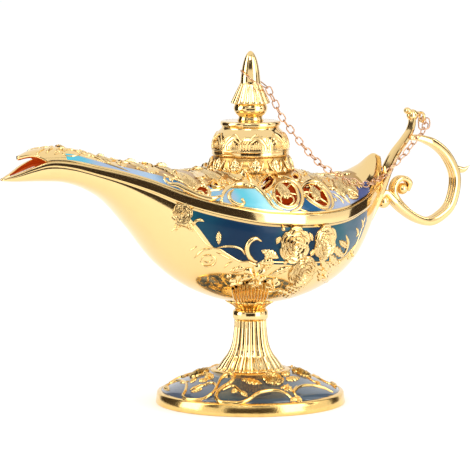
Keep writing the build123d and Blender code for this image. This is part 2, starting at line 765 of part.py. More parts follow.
nodes = {
    "foot": foot,
    "foot_enamel": foot_enamel,
    "tie_screw": tie_screw,
    "screw_washer": screw_washer,
    "stem": stem,
    "neck_ring": neck_ring,
    "calyx": calyx,
    "bowl": bowl,
    "bowl_enamel_front": front_layer,
    "bowl_enamel_back": back_layer,
    "cover": cover,
    "cover_enamel_front": cover_layers["front"],
    "cover_enamel_back": cover_layers["back"],
    "collar": collar,
    "lid": lid,
    "lid_flange": lid_flange,
    "lid_disc": lid_disc,
    "finial": finial,
    "finial_screw": finial_screw,
    "handle": handle,
    "handle_rivets": Compound(children=handle_rivets),
    "chain_loop": chain_loop,
    "chain": Compound(children=chain_links),
    "chain_ring": chain_ring,
}
for name, shape in nodes.items():
    export_step(shape, f"parts/{name}.step")
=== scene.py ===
import bmesh
import bpy
import math
import numpy as np
from mathutils import Matrix, Vector


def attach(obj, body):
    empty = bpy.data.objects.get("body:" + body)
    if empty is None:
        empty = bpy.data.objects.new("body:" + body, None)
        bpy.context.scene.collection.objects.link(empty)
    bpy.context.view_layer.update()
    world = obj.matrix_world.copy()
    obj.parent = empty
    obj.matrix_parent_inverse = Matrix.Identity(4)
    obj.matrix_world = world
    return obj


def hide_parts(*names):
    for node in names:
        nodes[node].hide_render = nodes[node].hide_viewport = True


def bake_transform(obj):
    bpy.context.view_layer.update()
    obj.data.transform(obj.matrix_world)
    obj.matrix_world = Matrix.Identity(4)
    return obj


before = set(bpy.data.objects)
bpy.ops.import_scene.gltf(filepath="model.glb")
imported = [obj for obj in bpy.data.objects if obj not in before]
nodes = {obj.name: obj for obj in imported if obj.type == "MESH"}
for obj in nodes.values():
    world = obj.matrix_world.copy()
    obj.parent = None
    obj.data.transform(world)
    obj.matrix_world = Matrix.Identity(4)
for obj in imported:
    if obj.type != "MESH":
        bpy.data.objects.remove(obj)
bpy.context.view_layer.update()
mm = 0.001


# The bowl: a cast and gilded pointed bowl that narrows into the spout's trough. Its rim is
# a polished half-round band. It is one casting, screwed to the stem from below.

gold_colour = (0.925, 0.665, 0.300)
# Painted shade: the dark brown that the metals lay into hollows and along open edges
gold_painted_shade_colour = (0.20, 0.09, 0.02)
spout_reach, tail_reach, body_half_width = 113.0, 62.3, 35.0
body_base_z, body_rise = 42.5, 64.0
band_height, band_proud, bowl_wall = 4.6, 0.9, 1.6
side_steps, band_steps = 73, 9
# A wall takes at most this share of the half width, and the band's section is squarish
thinnest_share, band_roundness = 0.6, 0.16

# Rows of shares: place along the body, half width, rim, height of the band, keel, crown
lip_shares = [
    (-1.000, 0.020, 0.889, 0.11, 0.877, 0.994),
    (-0.956, 0.091, 0.920, 0.22, 0.870, 1.016),
    (-0.903, 0.177, 0.963, 0.30, 0.867, 1.053),
]
hood_shares = [
    (-0.934, 0.160, 0.997, 0.40, 0.866, 1.031),
    (-0.885, 0.209, 1.003, 0.40, 0.865, 1.066),
]
body_shares = [
    (-0.841, 0.231, 0.998, 0.43, 0.863, 1.075),
    (-0.761, 0.274, 0.988, 0.52, 0.850, 1.078),
    (-0.673, 0.340, 0.953, 0.65, 0.798, 1.028),
    (-0.584, 0.437, 0.913, 0.78, 0.700, 0.988),
    (-0.487, 0.557, 0.859, 0.91, 0.517, 0.950),
    (-0.372, 0.720, 0.775, 0.98, 0.275, 0.913),
    (-0.239, 0.891, 0.705, 1.00, 0.108, 0.881),
    (-0.071, 0.994, 0.647, 1.00, 0.012, 0.892),
    (0.193, 0.977, 0.625, 1.00, 0.000, 0.892),
    (0.482, 0.780, 0.630, 1.00, 0.075, 0.822),
    (0.706, 0.526, 0.670, 1.00, 0.202, 0.819),
    (0.851, 0.314, 0.712, 0.96, 0.388, 0.878),
    (0.939, 0.166, 0.739, 0.87, 0.588, 0.944),
    (1.000, 0.054, 0.753, 0.65, 0.712, 0.923),
]


def lines_through(rows):
    """A function of x in mm that gives half width, rim, spring, keel and crown there."""
    table = np.array(rows)
    place, values = table[:, 0], table[:, 1:]
    near, far = np.r_[0, np.arange(len(place) - 1)], np.r_[np.arange(1, len(place)), len(place) - 1]
    slopes = (values[far] - values[near]) / (place[far] - place[near])[:, None]

    def at(x):
        x = np.asarray(x, float)
        share = np.where(x < 0, x / spout_reach, x / tail_reach)
        i = np.clip(np.searchsorted(place, share, side="right") - 1, 0, len(place) - 2)
        bay = place[i + 1] - place[i]
        t = np.clip((share - place[i]) / bay, 0, 1)[..., None]
        rise = t * t * (3 - 2 * t)
        v = values[i] + (values[i + 1] - values[i]) * rise
        v = v + slopes[i] * t * (1 - t) ** 2 * bay[..., None]
        v = v + slopes[i + 1] * t * t * (t - 1) * bay[..., None]
        rim = body_base_z + v[..., 1] * body_rise
        return (
            v[..., 0] * body_half_width,
            rim,
            rim - v[..., 2] * band_height,
            body_base_z + v[..., 3] * body_rise,
            body_base_z + v[..., 4] * body_rise,
        )

    return at


bowl_lines = lines_through(lip_shares + body_shares)
cover_lines = lines_through(hood_shares + body_shares)


def valley_shade_mask(mesh):
    """The painted shade mask: how deep in a valley each point lies, 0 to 1; open edges count as deep."""
    slight, gain, open_edge_shade = 0.10, 2.5, 0.8
    count = len(mesh.vertices)
    places, outward = np.empty(3 * count), np.empty(3 * count)
    mesh.vertices.foreach_get("co", places)
    mesh.vertices.foreach_get("normal", outward)
    places, outward = places.reshape(-1, 3), outward.reshape(-1, 3)
    edges = np.empty(2 * len(mesh.edges), int)
    mesh.edges.foreach_get("vertices", edges)
    edges = edges.reshape(-1, 2)
    a, b = edges.T
    way = places[b] - places[a]
    length = np.linalg.norm(way, axis=1)
    rise = np.bincount(a, np.sum(way * outward[a], 1), count)
    rise -= np.bincount(b, np.sum(way * outward[b], 1), count)
    reach = np.bincount(a, length, count) + np.bincount(b, length, count)
    deep = np.clip((rise / np.maximum(reach, 1e-9) - slight) * gain, 0, 1)
    sides = np.empty(len(mesh.loops), int)
    mesh.loops.foreach_get("edge_index", sides)
    open_edges = np.bincount(sides, minlength=len(mesh.edges)) == 1
    deep[edges[open_edges].ravel()] = open_edge_shade
    return deep


def piece(name, points, faces, material, body="lamp_base", smooth=True):
    """A mesh object from points in mm and faces, with its finish, riding on a body."""
    mesh = bpy.data.meshes.new(name)
    mesh.from_pydata((np.asarray(points, float) * mm).tolist(), [], [list(map(int, f)) for f in faces])
    mesh.validate()
    shape = bmesh.new()
    shape.from_mesh(mesh)
    if all(edge.is_manifold for edge in shape.edges):
        bmesh.ops.recalc_face_normals(shape, faces=shape.faces)
        shape.to_mesh(mesh)
    shape.free()
    mesh.update()
    mesh.shade_smooth() if smooth else mesh.shade_flat()
    # Each piece keeps a mask of its hollows and open edges, where the metals paint shade
    mesh.attributes.new("painted_shade", "FLOAT", "POINT").data.foreach_set("value", valley_shade_mask(mesh))
    made = bpy.data.objects.new(name, mesh)
    bpy.context.scene.collection.objects.link(made)
    mesh.materials.append(material)
    if body:
        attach(made, body)
    return made


def grid_faces(rows, columns, round_columns=False, round_rows=False, start=0):
    """Quads over a grid of rows by columns of points, closed on itself where asked."""
    r = np.arange(rows if round_rows else rows - 1)
    c = np.arange(columns if round_columns else columns - 1)
    r, c = (a.ravel() for a in np.meshgrid(r, c, indexing="ij"))
    r2, c2 = (r + 1) % rows, (c + 1) % columns
    quads = np.stack([r * columns + c, r * columns + c2, r2 * columns + c2, r2 * columns + c], 1)
    return (quads + start).tolist()


def bar_faces(rows, columns, looped=False):
    """Faces round a bar made of rings of points, closed at its ends or on itself."""
    faces = grid_faces(rows, columns, round_columns=True, round_rows=looped)
    if not looped:
        last = (rows - 1) * columns
        faces += [list(range(columns))[::-1], list(range(last, last + columns))]
    return faces


def node(tree, kind, inputs=(), **settings):
    """A node of a kind, or the one of that name: its inputs take values or other outputs."""
    made = tree.nodes.get(kind) or tree.nodes.new(kind)
    for name, value in settings.items():
        setattr(made, name, value)
    for socket, value in dict(inputs).items():
        if isinstance(value, bpy.types.NodeSocket):
            tree.links.new(value, made.inputs[socket])
        else:
            made.inputs[socket].default_value = value
    return made


def surface_finish(name, inputs=()):
    """A new material and its node tree, with these values on its shader."""
    finish = bpy.data.materials.new(name)
    finish.use_nodes = True
    node(finish.node_tree, "Principled BSDF", inputs)
    return finish, finish.node_tree


def metal(name, colour, painted_shade_colour, roughness, stain_scale=240.0, stain=0.25, bump=0.12):
    """A cast and gilded metal: polished colour, worn dark stains and a fine uneven skin, with
    painted shade in its hollows and along open edges.
    """
    finish, tree = surface_finish(name, {"Metallic": 1.0, "Roughness": roughness})
    where = node(tree, "ShaderNodeTexCoord").outputs["Object"]
    stains = node(tree, "ShaderNodeTexNoise", {
        "Vector": where, "Scale": stain_scale, "Detail": 6.0, "Roughness": 0.62,
    })
    spread = node(tree, "ShaderNodeMapRange", {
        "Value": stains.outputs["Fac"], "From Min": 0.50, "From Max": 0.80, "To Max": stain,
    })
    # Painted shade: the hollow mask and the stains together blend the colour towards the shade colour
    valley_shade = node(tree, "ShaderNodeAttribute", attribute_name="painted_shade")
    painted_shade_share = 0.9
    stains_and_painted_shade = node(
        tree, "ShaderNodeMath", {0: valley_shade.outputs["Fac"], 1: painted_shade_share, 2: spread.outputs["Result"]},
        operation="MULTIPLY_ADD", use_clamp=True,
    )
    tint = node(tree, "ShaderNodeMix", {
        "Factor": stains_and_painted_shade.outputs["Value"], "A": (*colour, 1), "B": (*painted_shade_colour, 1),
    }, data_type="RGBA")
    skin = node(tree, "ShaderNodeTexNoise", {"Vector": where, "Scale": 5 * stain_scale, "Detail": 3.0})
    uneven = node(tree, "ShaderNodeBump", {
        "Height": skin.outputs["Fac"], "Strength": bump, "Distance": 0.2 * mm,
    })
    node(tree, "Principled BSDF", {
        "Base Color": tint.outputs["Result"], "Normal": uneven.outputs["Normal"],
    })
    return finish


gold = metal("polished gilding", gold_colour, gold_painted_shade_colour, 0.10, stain=0.04, bump=0.015)
ground_gold = metal(
    "dull gilding of the grounds", (0.52, 0.30, 0.09), gold_painted_shade_colour, 0.30, stain=0.5, bump=0.2,
)

lip_end = -88
bowl_places = np.r_[np.linspace(-spout_reach, lip_end, 34), np.linspace(lip_end, tail_reach, 132)]
bowl_places = np.unique(bowl_places)
half, rim, spring, keel, crown = bowl_lines(bowl_places)
turn = np.linspace(0, math.pi, side_steps)
bow = np.linspace(-math.pi / 2, math.pi / 2, band_steps)
rings = []
for x, h, r, s, k in zip(bowl_places, half, rim, spring, keel):
    wall = min(bowl_wall, thinnest_share * h)
    inner_keel = k + min(bowl_wall, thinnest_share * (s - k))
    outside = np.c_[-h * np.cos(turn), s - (s - k) * np.sin(turn)]
    bulge = np.c_[h + band_proud * np.cos(bow) ** band_roundness, (s + r) / 2 + (r - s) / 2 * np.sin(bow)]
    inside = np.c_[(h - wall) * np.cos(turn), s - (s - inner_keel) * np.sin(turn)]
    outline = np.r_[outside, bulge, [[h - wall, r]], inside, [[wall - h, r]], bulge[::-1] * (-1, 1)]
    rings.append(np.c_[np.full(len(outline), x), outline])
bowl_columns = len(rings[0])
bowl = piece("bowl_casting", np.concatenate(rings), bar_faces(len(rings), bowl_columns), gold)
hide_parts("bowl")


# The enamel on the bowl: a glassy dark blue that turns teal and pale below the spout, with a
# painted highlight in a light teal band near the middle, melted into a shallow bed on each side
# and bordered by the gold.

def glassy(name, stops, from_point, to_point, cloud=0.35, coat=0.20, coat_ior=1.35):
    """Fired enamel: colours along a line through the piece, clouded, under a clear glaze."""
    finish, tree = surface_finish(name, {
        "Roughness": 0.25, "Specular IOR Level": 0.10, "Coat Weight": coat, "Coat Roughness": 0.04,
        "Coat IOR": coat_ior,
    })
    where = node(tree, "ShaderNodeTexCoord").outputs["Object"]
    a, b = np.array(from_point) * mm, np.array(to_point) * mm
    way = (b - a) / np.dot(b - a, b - a)
    start = -float(np.dot(a, way))
    along = node(tree, "ShaderNodeVectorMath", {0: where, 1: way}, operation="DOT_PRODUCT")
    clouds = node(tree, "ShaderNodeTexNoise", {"Vector": where, "Scale": 95.0, "Detail": 5.0})
    spread = node(tree, "ShaderNodeMapRange", {
        "Value": clouds.outputs["Fac"], "To Min": start - cloud / 2, "To Max": start + cloud / 2,
    })
    total = node(tree, "ShaderNodeMath", {0: along.outputs["Value"], 1: spread.outputs["Result"]})
    ramp = node(tree, "ShaderNodeValToRGB", {"Fac": total.outputs["Value"]})
    ramp.color_ramp.interpolation = "EASE"
    while len(ramp.color_ramp.elements) < len(stops):
        ramp.color_ramp.elements.new(0.5)
    for element, (place, colour) in zip(ramp.color_ramp.elements, stops):
        element.position, element.color = place, (*colour, 1)
    node(tree, "Principled BSDF", {"Base Color": ramp.outputs["Color"]})
    return finish


navy, teal = (0.004, 0.024, 0.062), (0.006, 0.120, 0.150)
bowl_blue_and_highlight = glassy(
    "blue enamel of the bowl with painted highlight",
    # The light teal stop at 0.52, between two navy stops, is a painted highlight
    [(0.0, teal), (0.08, (0.006, 0.055, 0.095)), (0.26, navy), (0.42, (0.006, 0.034, 0.080)),
     (0.52, (0.008, 0.110, 0.150)), (0.62, navy), (0.76, (0.020, 0.110, 0.140)),
     (0.88, (0.100, 0.160, 0.200)), (1.0, (0.190, 0.230, 0.290))],
    (-45, 0, 80), (47, 0, 72), 0.16,
)
enamel_rise = 0.12
both_sides = ((-1, "front"), (1, "back"))


def section_of(lines, x):
    """Half width, foot and far end of the half oval that the bowl or the cover has at x."""
    h, r, s, k, c = lines(x)
    return (h, s, k) if lines is bowl_lines else (h, r - band_proud, c)


def slope_of(lines, x, z):
    """How fast a side's width grows along the body, as a share for its outward direction."""
    step, least = 0.5, 0.02

    def width_at(x):
        h, r, s, k, c = lines(x)
        far = k if lines is bowl_lines else c
        return h * np.sqrt(np.clip(1 - ((z - s) / (far - s)) ** 2, least, 1))

    return (width_at(x + step) - width_at(x - step)) / (2 * step) / lines(x)[0]


def body_side(lines, x, z, side=-1, proud=0.0):
    """Points on a side at places (x, z), and the direction straight out there."""
    x, z = np.asarray(x, float), np.asarray(z, float)
    h, base, far = section_of(lines, x)
    share = np.clip((z - base) / (far - base), 0, 0.999)
    y = side * h * np.sqrt(1 - share**2)
    out = np.stack([-slope_of(lines, x, z), y / h**2, share / (far - base)], -1)
    out /= np.linalg.norm(out, axis=-1, keepdims=True)
    return np.stack([x, y, z], -1) + proud * out, out


def slab_faces(rows, columns):
    """Faces of a slab: a grid of outer points, then one of inner points, and their border."""
    skin, n = grid_faces(rows, columns), rows * columns
    border = list(range(columns)) + [i * columns + columns - 1 for i in range(1, rows)]
    border += [(rows - 1) * columns + j for j in range(columns - 2, -1, -1)]
    border += [i * columns for i in range(rows - 2, 0, -1)]
    faces = skin + [[q + n for q in f[::-1]] for f in skin]
    return faces + [[a, a + n, b + n, b] for a, b in zip(border, border[1:] + border[:1])]


def patch(name, upper, lower, lines, material, side, body="lamp_base"):
    """A thin layer over part of a side, between an upper and a lower line of (x, z) places."""
    columns, rows, depth, edge_gain, end_steps = 120, 22, 0.5, 6, 4
    x = np.linspace(upper[0][0], upper[-1][0], columns)[:, None]
    top, bottom = (np.interp(x, *np.array(line).T) for line in (upper, lower))
    share, number = np.linspace(0, 1, rows), np.arange(columns)[:, None]
    edge = np.minimum(1, edge_gain * np.minimum(share, 1 - share))
    ends = np.minimum(1, np.minimum(number, number[::-1]) / end_steps)
    face, out = body_side(lines, np.repeat(x, rows, 1), top + (bottom - top) * share, side)
    outer = face + out * (enamel_rise * np.sqrt(edge * ends))[..., None]
    inner = face - out * depth
    points = np.concatenate([outer.reshape(-1, 3), inner.reshape(-1, 3)])
    return piece(name, points, slab_faces(columns, rows), material, body)


bowl_field_low = [
    (-45.2, 87.3), (-37.3, 78.3), (-31.6, 70.7), (-21.5, 64.6), (-10.0, 62.4), (0.0, 61.7),
    (17.4, 59.8), (32.4, 61.7), (43.6, 68.7), (47.3, 75.8),
]
x_field = np.linspace(bowl_field_low[0][0], bowl_field_low[-1][0], 60)
border_width = 1.0
bowl_field_high = list(zip(x_field, bowl_lines(x_field)[2] - border_width))
for side, name in both_sides:
    layer = patch(
        f"bowl_enamel_{name}_glaze", bowl_field_high, bowl_field_low, bowl_lines, bowl_blue_and_highlight, side
    )
    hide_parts(f"bowl_enamel_{name}")


# The cover: a pierced and gilded dome over the bowl and the root of the spout. It is cast in
# one with its hood and soldered to the rim of the bowl. A copper lacquer lines it inside,
# with a faint painted glow.

cover_wall = 1.6
mouth_low_x, mouth_high_x, mouth_steepness = -96.6, -106.2, 1.15
collar_foot_z, collar_height = 99.59, 5.0
collar_foot_radius, collar_top_radius, lid_bore_radius = 17.6, 15.8, 13.2

# The photograph's viewing angle, by which windows and raised work are placed from its pixels
camera_turn, camera_lift = math.radians(-27.0), math.radians(6.6)
pixel_size = 0.42  # mm to a pixel of the photograph at the lamp
camera_distance, aim_height, aim_side = 1421.7, 70.8, 15.4 * pixel_size
camera_lens, camera_sensor, photo_size = 259.3, 36.0, 470.0
view_right = np.array([math.cos(camera_turn), math.sin(camera_turn), 0])
view_back = np.array([
    math.sin(camera_turn) * math.cos(camera_lift), -math.cos(camera_turn) * math.cos(camera_lift),
    math.sin(camera_lift),
])
view_up = np.cross(view_back, view_right)
view_aim = np.array([0, 0, aim_height]) - view_right * aim_side


def seen(places, inside):
    """The points (x, y, z) where lines of sight through pixels of the photograph enter a form.

    A place just above the form's outline is moved down until its line meets the form.
    """
    px, py = np.array(places, float).T
    pixel = camera_sensor / camera_lens / photo_size
    right, up = (px - photo_size / 2) * pixel, (photo_size / 2 - py) * pixel
    way = right[:, None] * view_right + up[:, None] * view_up
    ahead_of_aim, behind_aim, steps, one_down = 125, 60, 1500, (0.0, 0.5)
    reach = np.linspace(camera_distance - ahead_of_aim, camera_distance + behind_aim, steps)
    points = view_aim + view_back * camera_distance + reach[:, None, None] * (way - view_back)
    hits = inside(*np.moveaxis(points, -1, 0))
    missed = ~hits.any(0)
    if missed.any():
        return seen(np.array(places, float) + np.outer(missed, one_down), inside)
    return points[np.argmax(hits, axis=0), np.arange(len(px))]


def seen_on_body(lines):
    """A function that gives places (x, z) of a near side under pixels of the photograph."""
    def inside(x, y, z):
        h, base, far = section_of(lines, x)
        share = (z - base) / (far - base)
        return (share > 0) & (share < 1) & (np.abs(y) < h * np.sqrt(np.clip(1 - share**2, 0, 1)))

    return lambda places: seen(places, inside)[:, [0, 2]]


seen_on_bowl, seen_on_cover = seen_on_body(bowl_lines), seen_on_body(cover_lines)

# The windows' outlines in pixels of the photograph
window_outlines = [
    [(273.7, 193.7), (275.3, 187.5), (280.8, 183), (287.5, 182), (293.7, 185.8), (297.3, 192.5),
      (298, 200), (294.7, 205.3), (288, 207), (280.8, 205), (275.3, 200)],
    [(300.5, 189.7), (305.8, 184.2), (314.2, 183.7), (321.7, 188.7), (327, 196.7), (328.7, 204.2),
      (324.2, 207.5), (316.7, 204.2), (309.2, 199.2), (303.3, 193.7)],
    [(258.3, 190), (259.2, 184.2), (265, 177.5), (270.8, 175.5), (274.2, 179.2), (272.5, 185.4),
      (267, 190), (262, 191.7)],
    [(211, 186.3), (214.8, 182.3), (225, 181.5), (225, 184.9), (217.5, 187.2)],
    [(194.5, 190.5), (198.5, 186.8), (203, 186.4), (208, 189.2), (208.2, 194.7), (204.6, 195.6),
      (201, 192.3), (197, 192)], [(290.6, 176.2), (294, 173.8), (298.4, 176), (298, 180.4), (293, 180)],
    [(346, 189), (352.5, 191.5), (357, 196.6), (350, 196.4)],
]


def arch(x, turn, side=-1, inset=0.0):
    """Points on the cover at places x and turns of the arch, 0 at the rim and 1 at the crown."""
    h, r, s, k, c = cover_lines(x)
    base = r - band_proud
    low = np.arcsin(np.clip(band_proud / (c - base), 0, 1))
    angle = low + np.asarray(turn) * math.pi / 2 * (1 - low / (math.pi / 2))
    wall = np.minimum(inset, thinnest_share * h)
    y = side * (h - wall) * np.cos(angle)
    return np.stack(np.broadcast_arrays(x, y, base + (c - wall - base) * np.sin(angle)), -1)


def smooth_line(places, count):
    """A smooth line through places, as evenly spaced points, whatever their dimension."""
    p = np.asarray(places, float)
    gaps = np.linalg.norm(np.diff(p, axis=0), axis=1) ** 0.5
    knots = np.r_[0, np.cumsum(gaps)]
    ends = np.vstack([2 * p[0] - p[1], p, 2 * p[-1] - p[-2]])
    t_ends = np.r_[-gaps[0], knots, knots[-1] + gaps[-1]]
    slopes = (ends[2:] - ends[:-2]) / (t_ends[2:] - t_ends[:-2])[:, None]
    t = np.linspace(0, knots[-1], 24 * len(p))
    i = np.clip(np.searchsorted(knots, t, side="right") - 1, 0, len(p) - 2)
    bay = (knots[i + 1] - knots[i])[:, None]
    u = (t - knots[i])[:, None] / bay
    fine = p[i] + (p[i + 1] - p[i]) * (u * u * (3 - 2 * u)) + slopes[i] * bay * u * (1 - u) ** 2
    fine = fine + slopes[i + 1] * bay * u * u * (u - 1)
    lengths = np.r_[0, np.cumsum(np.linalg.norm(np.diff(fine, axis=0), axis=1))]
    even = np.linspace(0, lengths[-1], count)
    return np.stack([np.interp(even, lengths, fine[:, k]) for k in range(p.shape[1])], -1)


def window_cutter(side, grow):
    """One mesh object that holds level prisms through all windows on a side."""
    points, faces = [], []
    near_y, far_y, corners = 10, 45, 40
    for outline in window_outlines:
        places = smooth_line(seen_on_cover(outline + outline[:1]), corners + 1)[:-1]
        ahead = np.roll(places, -1, 0) - np.roll(places, 1, 0)
        out = np.stack([ahead[:, 1], -ahead[:, 0]], 1) / np.linalg.norm(ahead, axis=1, keepdims=True)
        out *= np.sign(np.sum(out * (places - places.mean(0)), axis=1))[:, None]
        start = len(points)
        for reach in (near_y, far_y):
            points += [(x, side * reach, z) for x, z in places + grow * out]
        faces += [[i + start for i in face] for face in bar_faces(2, corners)]
    return piece("cutter", points, faces, gold, None)


def hardened(made):
    """Makes the plain mesh of an object from what its modifiers show."""
    bpy.context.view_layer.update()
    mesh = bpy.data.meshes.new_from_object(made.evaluated_get(bpy.context.evaluated_depsgraph_get()))
    made.modifiers.clear()
    made.data = mesh


def cut_away(made, cutters, overlapping=False):
    """Cuts the cutters out of a piece, and removes them."""
    for cutter in cutters:
        cut = made.modifiers.new("cut", "BOOLEAN")
        cut.operation, cut.solver, cut.object = "DIFFERENCE", "EXACT", cutter
        cut.use_self = overlapping
    hardened(made)
    for cutter in cutters:
        bpy.data.objects.remove(cutter)


run = np.linspace(0, 1, 170)
quarter_steps = 33
turns = np.r_[np.linspace(0, 1, quarter_steps), np.linspace(1, 0, quarter_steps)[1:]]
sides = np.r_[-np.ones(quarter_steps), np.ones(quarter_steps - 1)]
start_x = mouth_low_x + (mouth_high_x - mouth_low_x) * np.minimum(1, turns * mouth_steepness)
skins = []
for inset in (0.0, cover_wall):
    xs = start_x + (tail_reach - inset - start_x) * run[:, None]
    skins.append(arch(xs, turns, sides, inset).reshape(-1, 3))
lining_with_painted_glow = metal("copper lacquer inside with painted glow", (0.62, 0.17, 0.03), (0.30, 0.08, 0.01), 0.45, 120.0, 0.2, 0.05)
# Painted light: a faint orange glow, so that the inside shows warm through the windows
node(lining_with_painted_glow.node_tree, "Principled BSDF", {
    "Metallic": 0.2, "Emission Color": (0.50, 0.10, 0.02, 1), "Emission Strength": 0.30,
})
cover = piece("pierced_cover", np.concatenate(skins), slab_faces(len(run), len(turns)), gold, None)


def turned(name, profile, material, body, sides=128, looped=False, flute=lambda angle, share: 1.0):
    """A piece turned about the lamp's axis from (radius, height) places, with any flutes."""
    angle = np.linspace(0, 2 * math.pi, sides, endpoint=False)
    rings = []
    for i, (radius, height) in enumerate(profile):
        reach = radius * flute(angle, i / (len(profile) - 1))
        rings.append(np.c_[reach * np.cos(angle), reach * np.sin(angle), np.full(sides, height)])
    return piece(name, np.concatenate(rings), bar_faces(len(profile), sides, looped), material, body)


cover.data.materials.append(lining_with_painted_glow)
cover.data.materials.append(ground_gold)
ground_start, ground_end, strip_share = -66, 47, 0.60
for face in cover.data.polygons:
    x, z = face.center[0] / mm, face.center[2] / mm
    h, r, s, k, c = cover_lines(x)
    if min(face.vertices) >= len(skins[0]):
        face.material_index = 1
    elif ground_start < x < ground_end and z > r + strip_share * (c - r):
        face.material_index = 2
bowl.data.materials.append(lining_with_painted_glow)
inside_start = side_steps + band_steps + 1
for face in bowl.data.polygons:
    if all(inside_start <= v % bowl_columns < inside_start + side_steps for v in face.vertices):
        face.material_index = 1
bore_low, bore_high = 88, 110
bore = turned("cutter", [(lid_bore_radius, bore_low), (lid_bore_radius, bore_high)], gold, None, 96)
cut_away(cover, [window_cutter(-1, 0), window_cutter(1, 0), bore])
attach(cover, "lamp_base")
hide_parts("cover")


# The collar: a turned ring with a flared foot, soldered on the cover round the lid's hole.

lid_seat_z = collar_foot_z + collar_height
collar_profile = [
    (lid_bore_radius, 97.2), (collar_foot_radius + 0.2, 97.2), (collar_foot_radius + 0.5, 98.6),
    (collar_foot_radius + 0.3, 99.4), (collar_foot_radius - 0.4, 99.9), (collar_foot_radius - 0.7, 101.4),
    (collar_foot_radius - 1.1, 102.6), (collar_top_radius + 0.1, 103.4), (collar_top_radius + 0.15, 104.1),
    (collar_top_radius - 0.2, lid_seat_z), (lid_bore_radius, lid_seat_z),
]
collar = turned("turned_collar", collar_profile, ground_gold, "lamp_base", 128, looped=True)
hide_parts("collar")


# The enamel strips on the cover: grey-blue and pale turquoise fields between the rim band
# and the scrolls, with a frame of bare gold round each window.

cover_blue = glassy(
    "blue enamel of the cover",
    [(0.0, (0.04, 0.50, 0.62)), (0.05, (0.10, 0.40, 0.52)), (0.12, (0.30, 0.38, 0.52)),
     (0.25, (0.32, 0.44, 0.58)), (0.31, (0.01, 0.13, 0.26)), (0.40, (0.20, 0.40, 0.54)),
     (0.46, (0.30, 0.40, 0.52)), (0.50, (0.10, 0.46, 0.56)), (0.59, (0.40, 0.72, 0.80)),
     (0.65, (0.30, 0.36, 0.50)), (0.69, (0.012, 0.085, 0.19)), (0.76, (0.012, 0.10, 0.22)),
     (0.785, (0.30, 0.36, 0.50)), (0.86, (0.36, 0.40, 0.52)), (0.93, (0.07, 0.09, 0.22)),
     (1.0, (0.10, 0.12, 0.26))],
    (-90, 0, 0), (52, 0, 0), 0.05,
)
strip_start, strip_end, window_frame = -88.0, 49.8, 0.9
x_strip = np.linspace(strip_start, strip_end, 84)
h, r, s, k, c = cover_lines(x_strip)
strip_low = list(zip(x_strip, r + border_width))
strip_high = list(zip(x_strip, r + strip_share * (c - r)))
for side, name in both_sides:
    layer = patch(
        f"cover_enamel_{name}_glaze", strip_high, strip_low, cover_lines, cover_blue, side, None
    )
    cut_away(layer, [window_cutter(side, window_frame)], True)
    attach(layer, "lamp_base")
    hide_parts(f"cover_enamel_{name}")


# The foot: a spun and cast round foot with a polished edge, a sloping enamelled top between
# two gold lines, and a flat on which the stem stands. It is hollow below.

foot_height = 14.4
foot_slope = [(37.7, 5.4), (33.9, 7.5), (30.2, 9.0), (26.5, 10.1), (23.2, 11.3), (20.3, 12.45), (16.8, 13.97)]
deep_gold = metal("deep gilding of the foot", (0.93, 0.62, 0.21), gold_painted_shade_colour, 0.17, 200.0, 0.35)
foot_profile = [
    (7.5, 5.6), (7.5, 11.6), (16.8, 11.6), (26.5, 7.9), (33.9, 5.3), (37.7, 2.6), (37.7, 0.0),
    (39.4, 0.0), (39.85, 0.2), (39.9, 0.5), (39.45, 4.5), (39.1, 4.9), (38.5, 5.1), (37.7, 5.4), (37.5, 5.2),
    (33.9, 7.2), (30.2, 8.7), (26.5, 9.8), (23.2, 11.0), (20.3, 12.15), (17.0, 13.6), (16.8, 13.97),
    (16.5, 14.25), (16.0, foot_height), (2.4, foot_height),
]
foot = turned("foot_casting", foot_profile, deep_gold, "lamp_base", 160)
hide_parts("foot")

foot_blue = glassy(
    "smoky enamel of the foot",
    [(0.0, (0.10, 0.125, 0.18)), (0.24, (0.06, 0.08, 0.12)), (0.36, (0.03, 0.06, 0.08)),
     (0.50, (0.015, 0.03, 0.045)), (0.66, (0.03, 0.05, 0.065)), (0.76, (0.05, 0.08, 0.11)),
     (1.0, (0.09, 0.12, 0.17))],
    (-34, 17, 8), (34, -17, 8), 0.12, 1.0, 1.55,
)
glaze_rise, glaze_depth = 0.05, 0.9
top = [(37.4, 5.45), *((r, z + glaze_rise) for r, z in foot_slope[1:-1]), (17.1, 13.8)]
under = [(r, z - glaze_depth) for r, z in reversed(top)]
foot_glaze = turned("foot_enamel_glaze", top + under, foot_blue, "lamp_base", 160, looped=True)
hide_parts("foot_enamel")


# The stem: a fluted trumpet of twenty round ribs, cast and gilded, held between foot and
# neck ring by the long screw through its middle.

rib_count, rib_depth_share, rib_roundness = 20, 0.085, 0.7
stem_foot_radius, stem_height = 14.8, 20.7
stem_shares = [
    (1.0, 0.0), (0.93, 0.035), (0.86, 0.10), (0.77, 0.19), (0.66, 0.29), (0.58, 0.40), (0.52, 0.54),
    (0.49, 0.69), (0.465, 0.86), (0.46, 1.0),
]
stem_curve = np.array([(stem_foot_radius * r, foot_height + stem_height * z) for r, z in stem_shares])
stem_z = np.linspace(foot_height, foot_height + stem_height, 44)
stem_profile = list(zip(np.interp(stem_z, stem_curve[:, 1], stem_curve[:, 0]), stem_z))


def round_ribs(angle, share):
    """Round ribs with sharp valleys between."""
    return 1 - rib_depth_share + rib_depth_share * np.abs(np.cos(angle * rib_count / 2)) ** rib_roundness


stem = turned("fluted_stem", stem_profile, gold, "lamp_base", 16 * rib_count, flute=round_ribs)
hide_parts("stem")


# The neck ring: a turned and polished ring between stem and calyx.

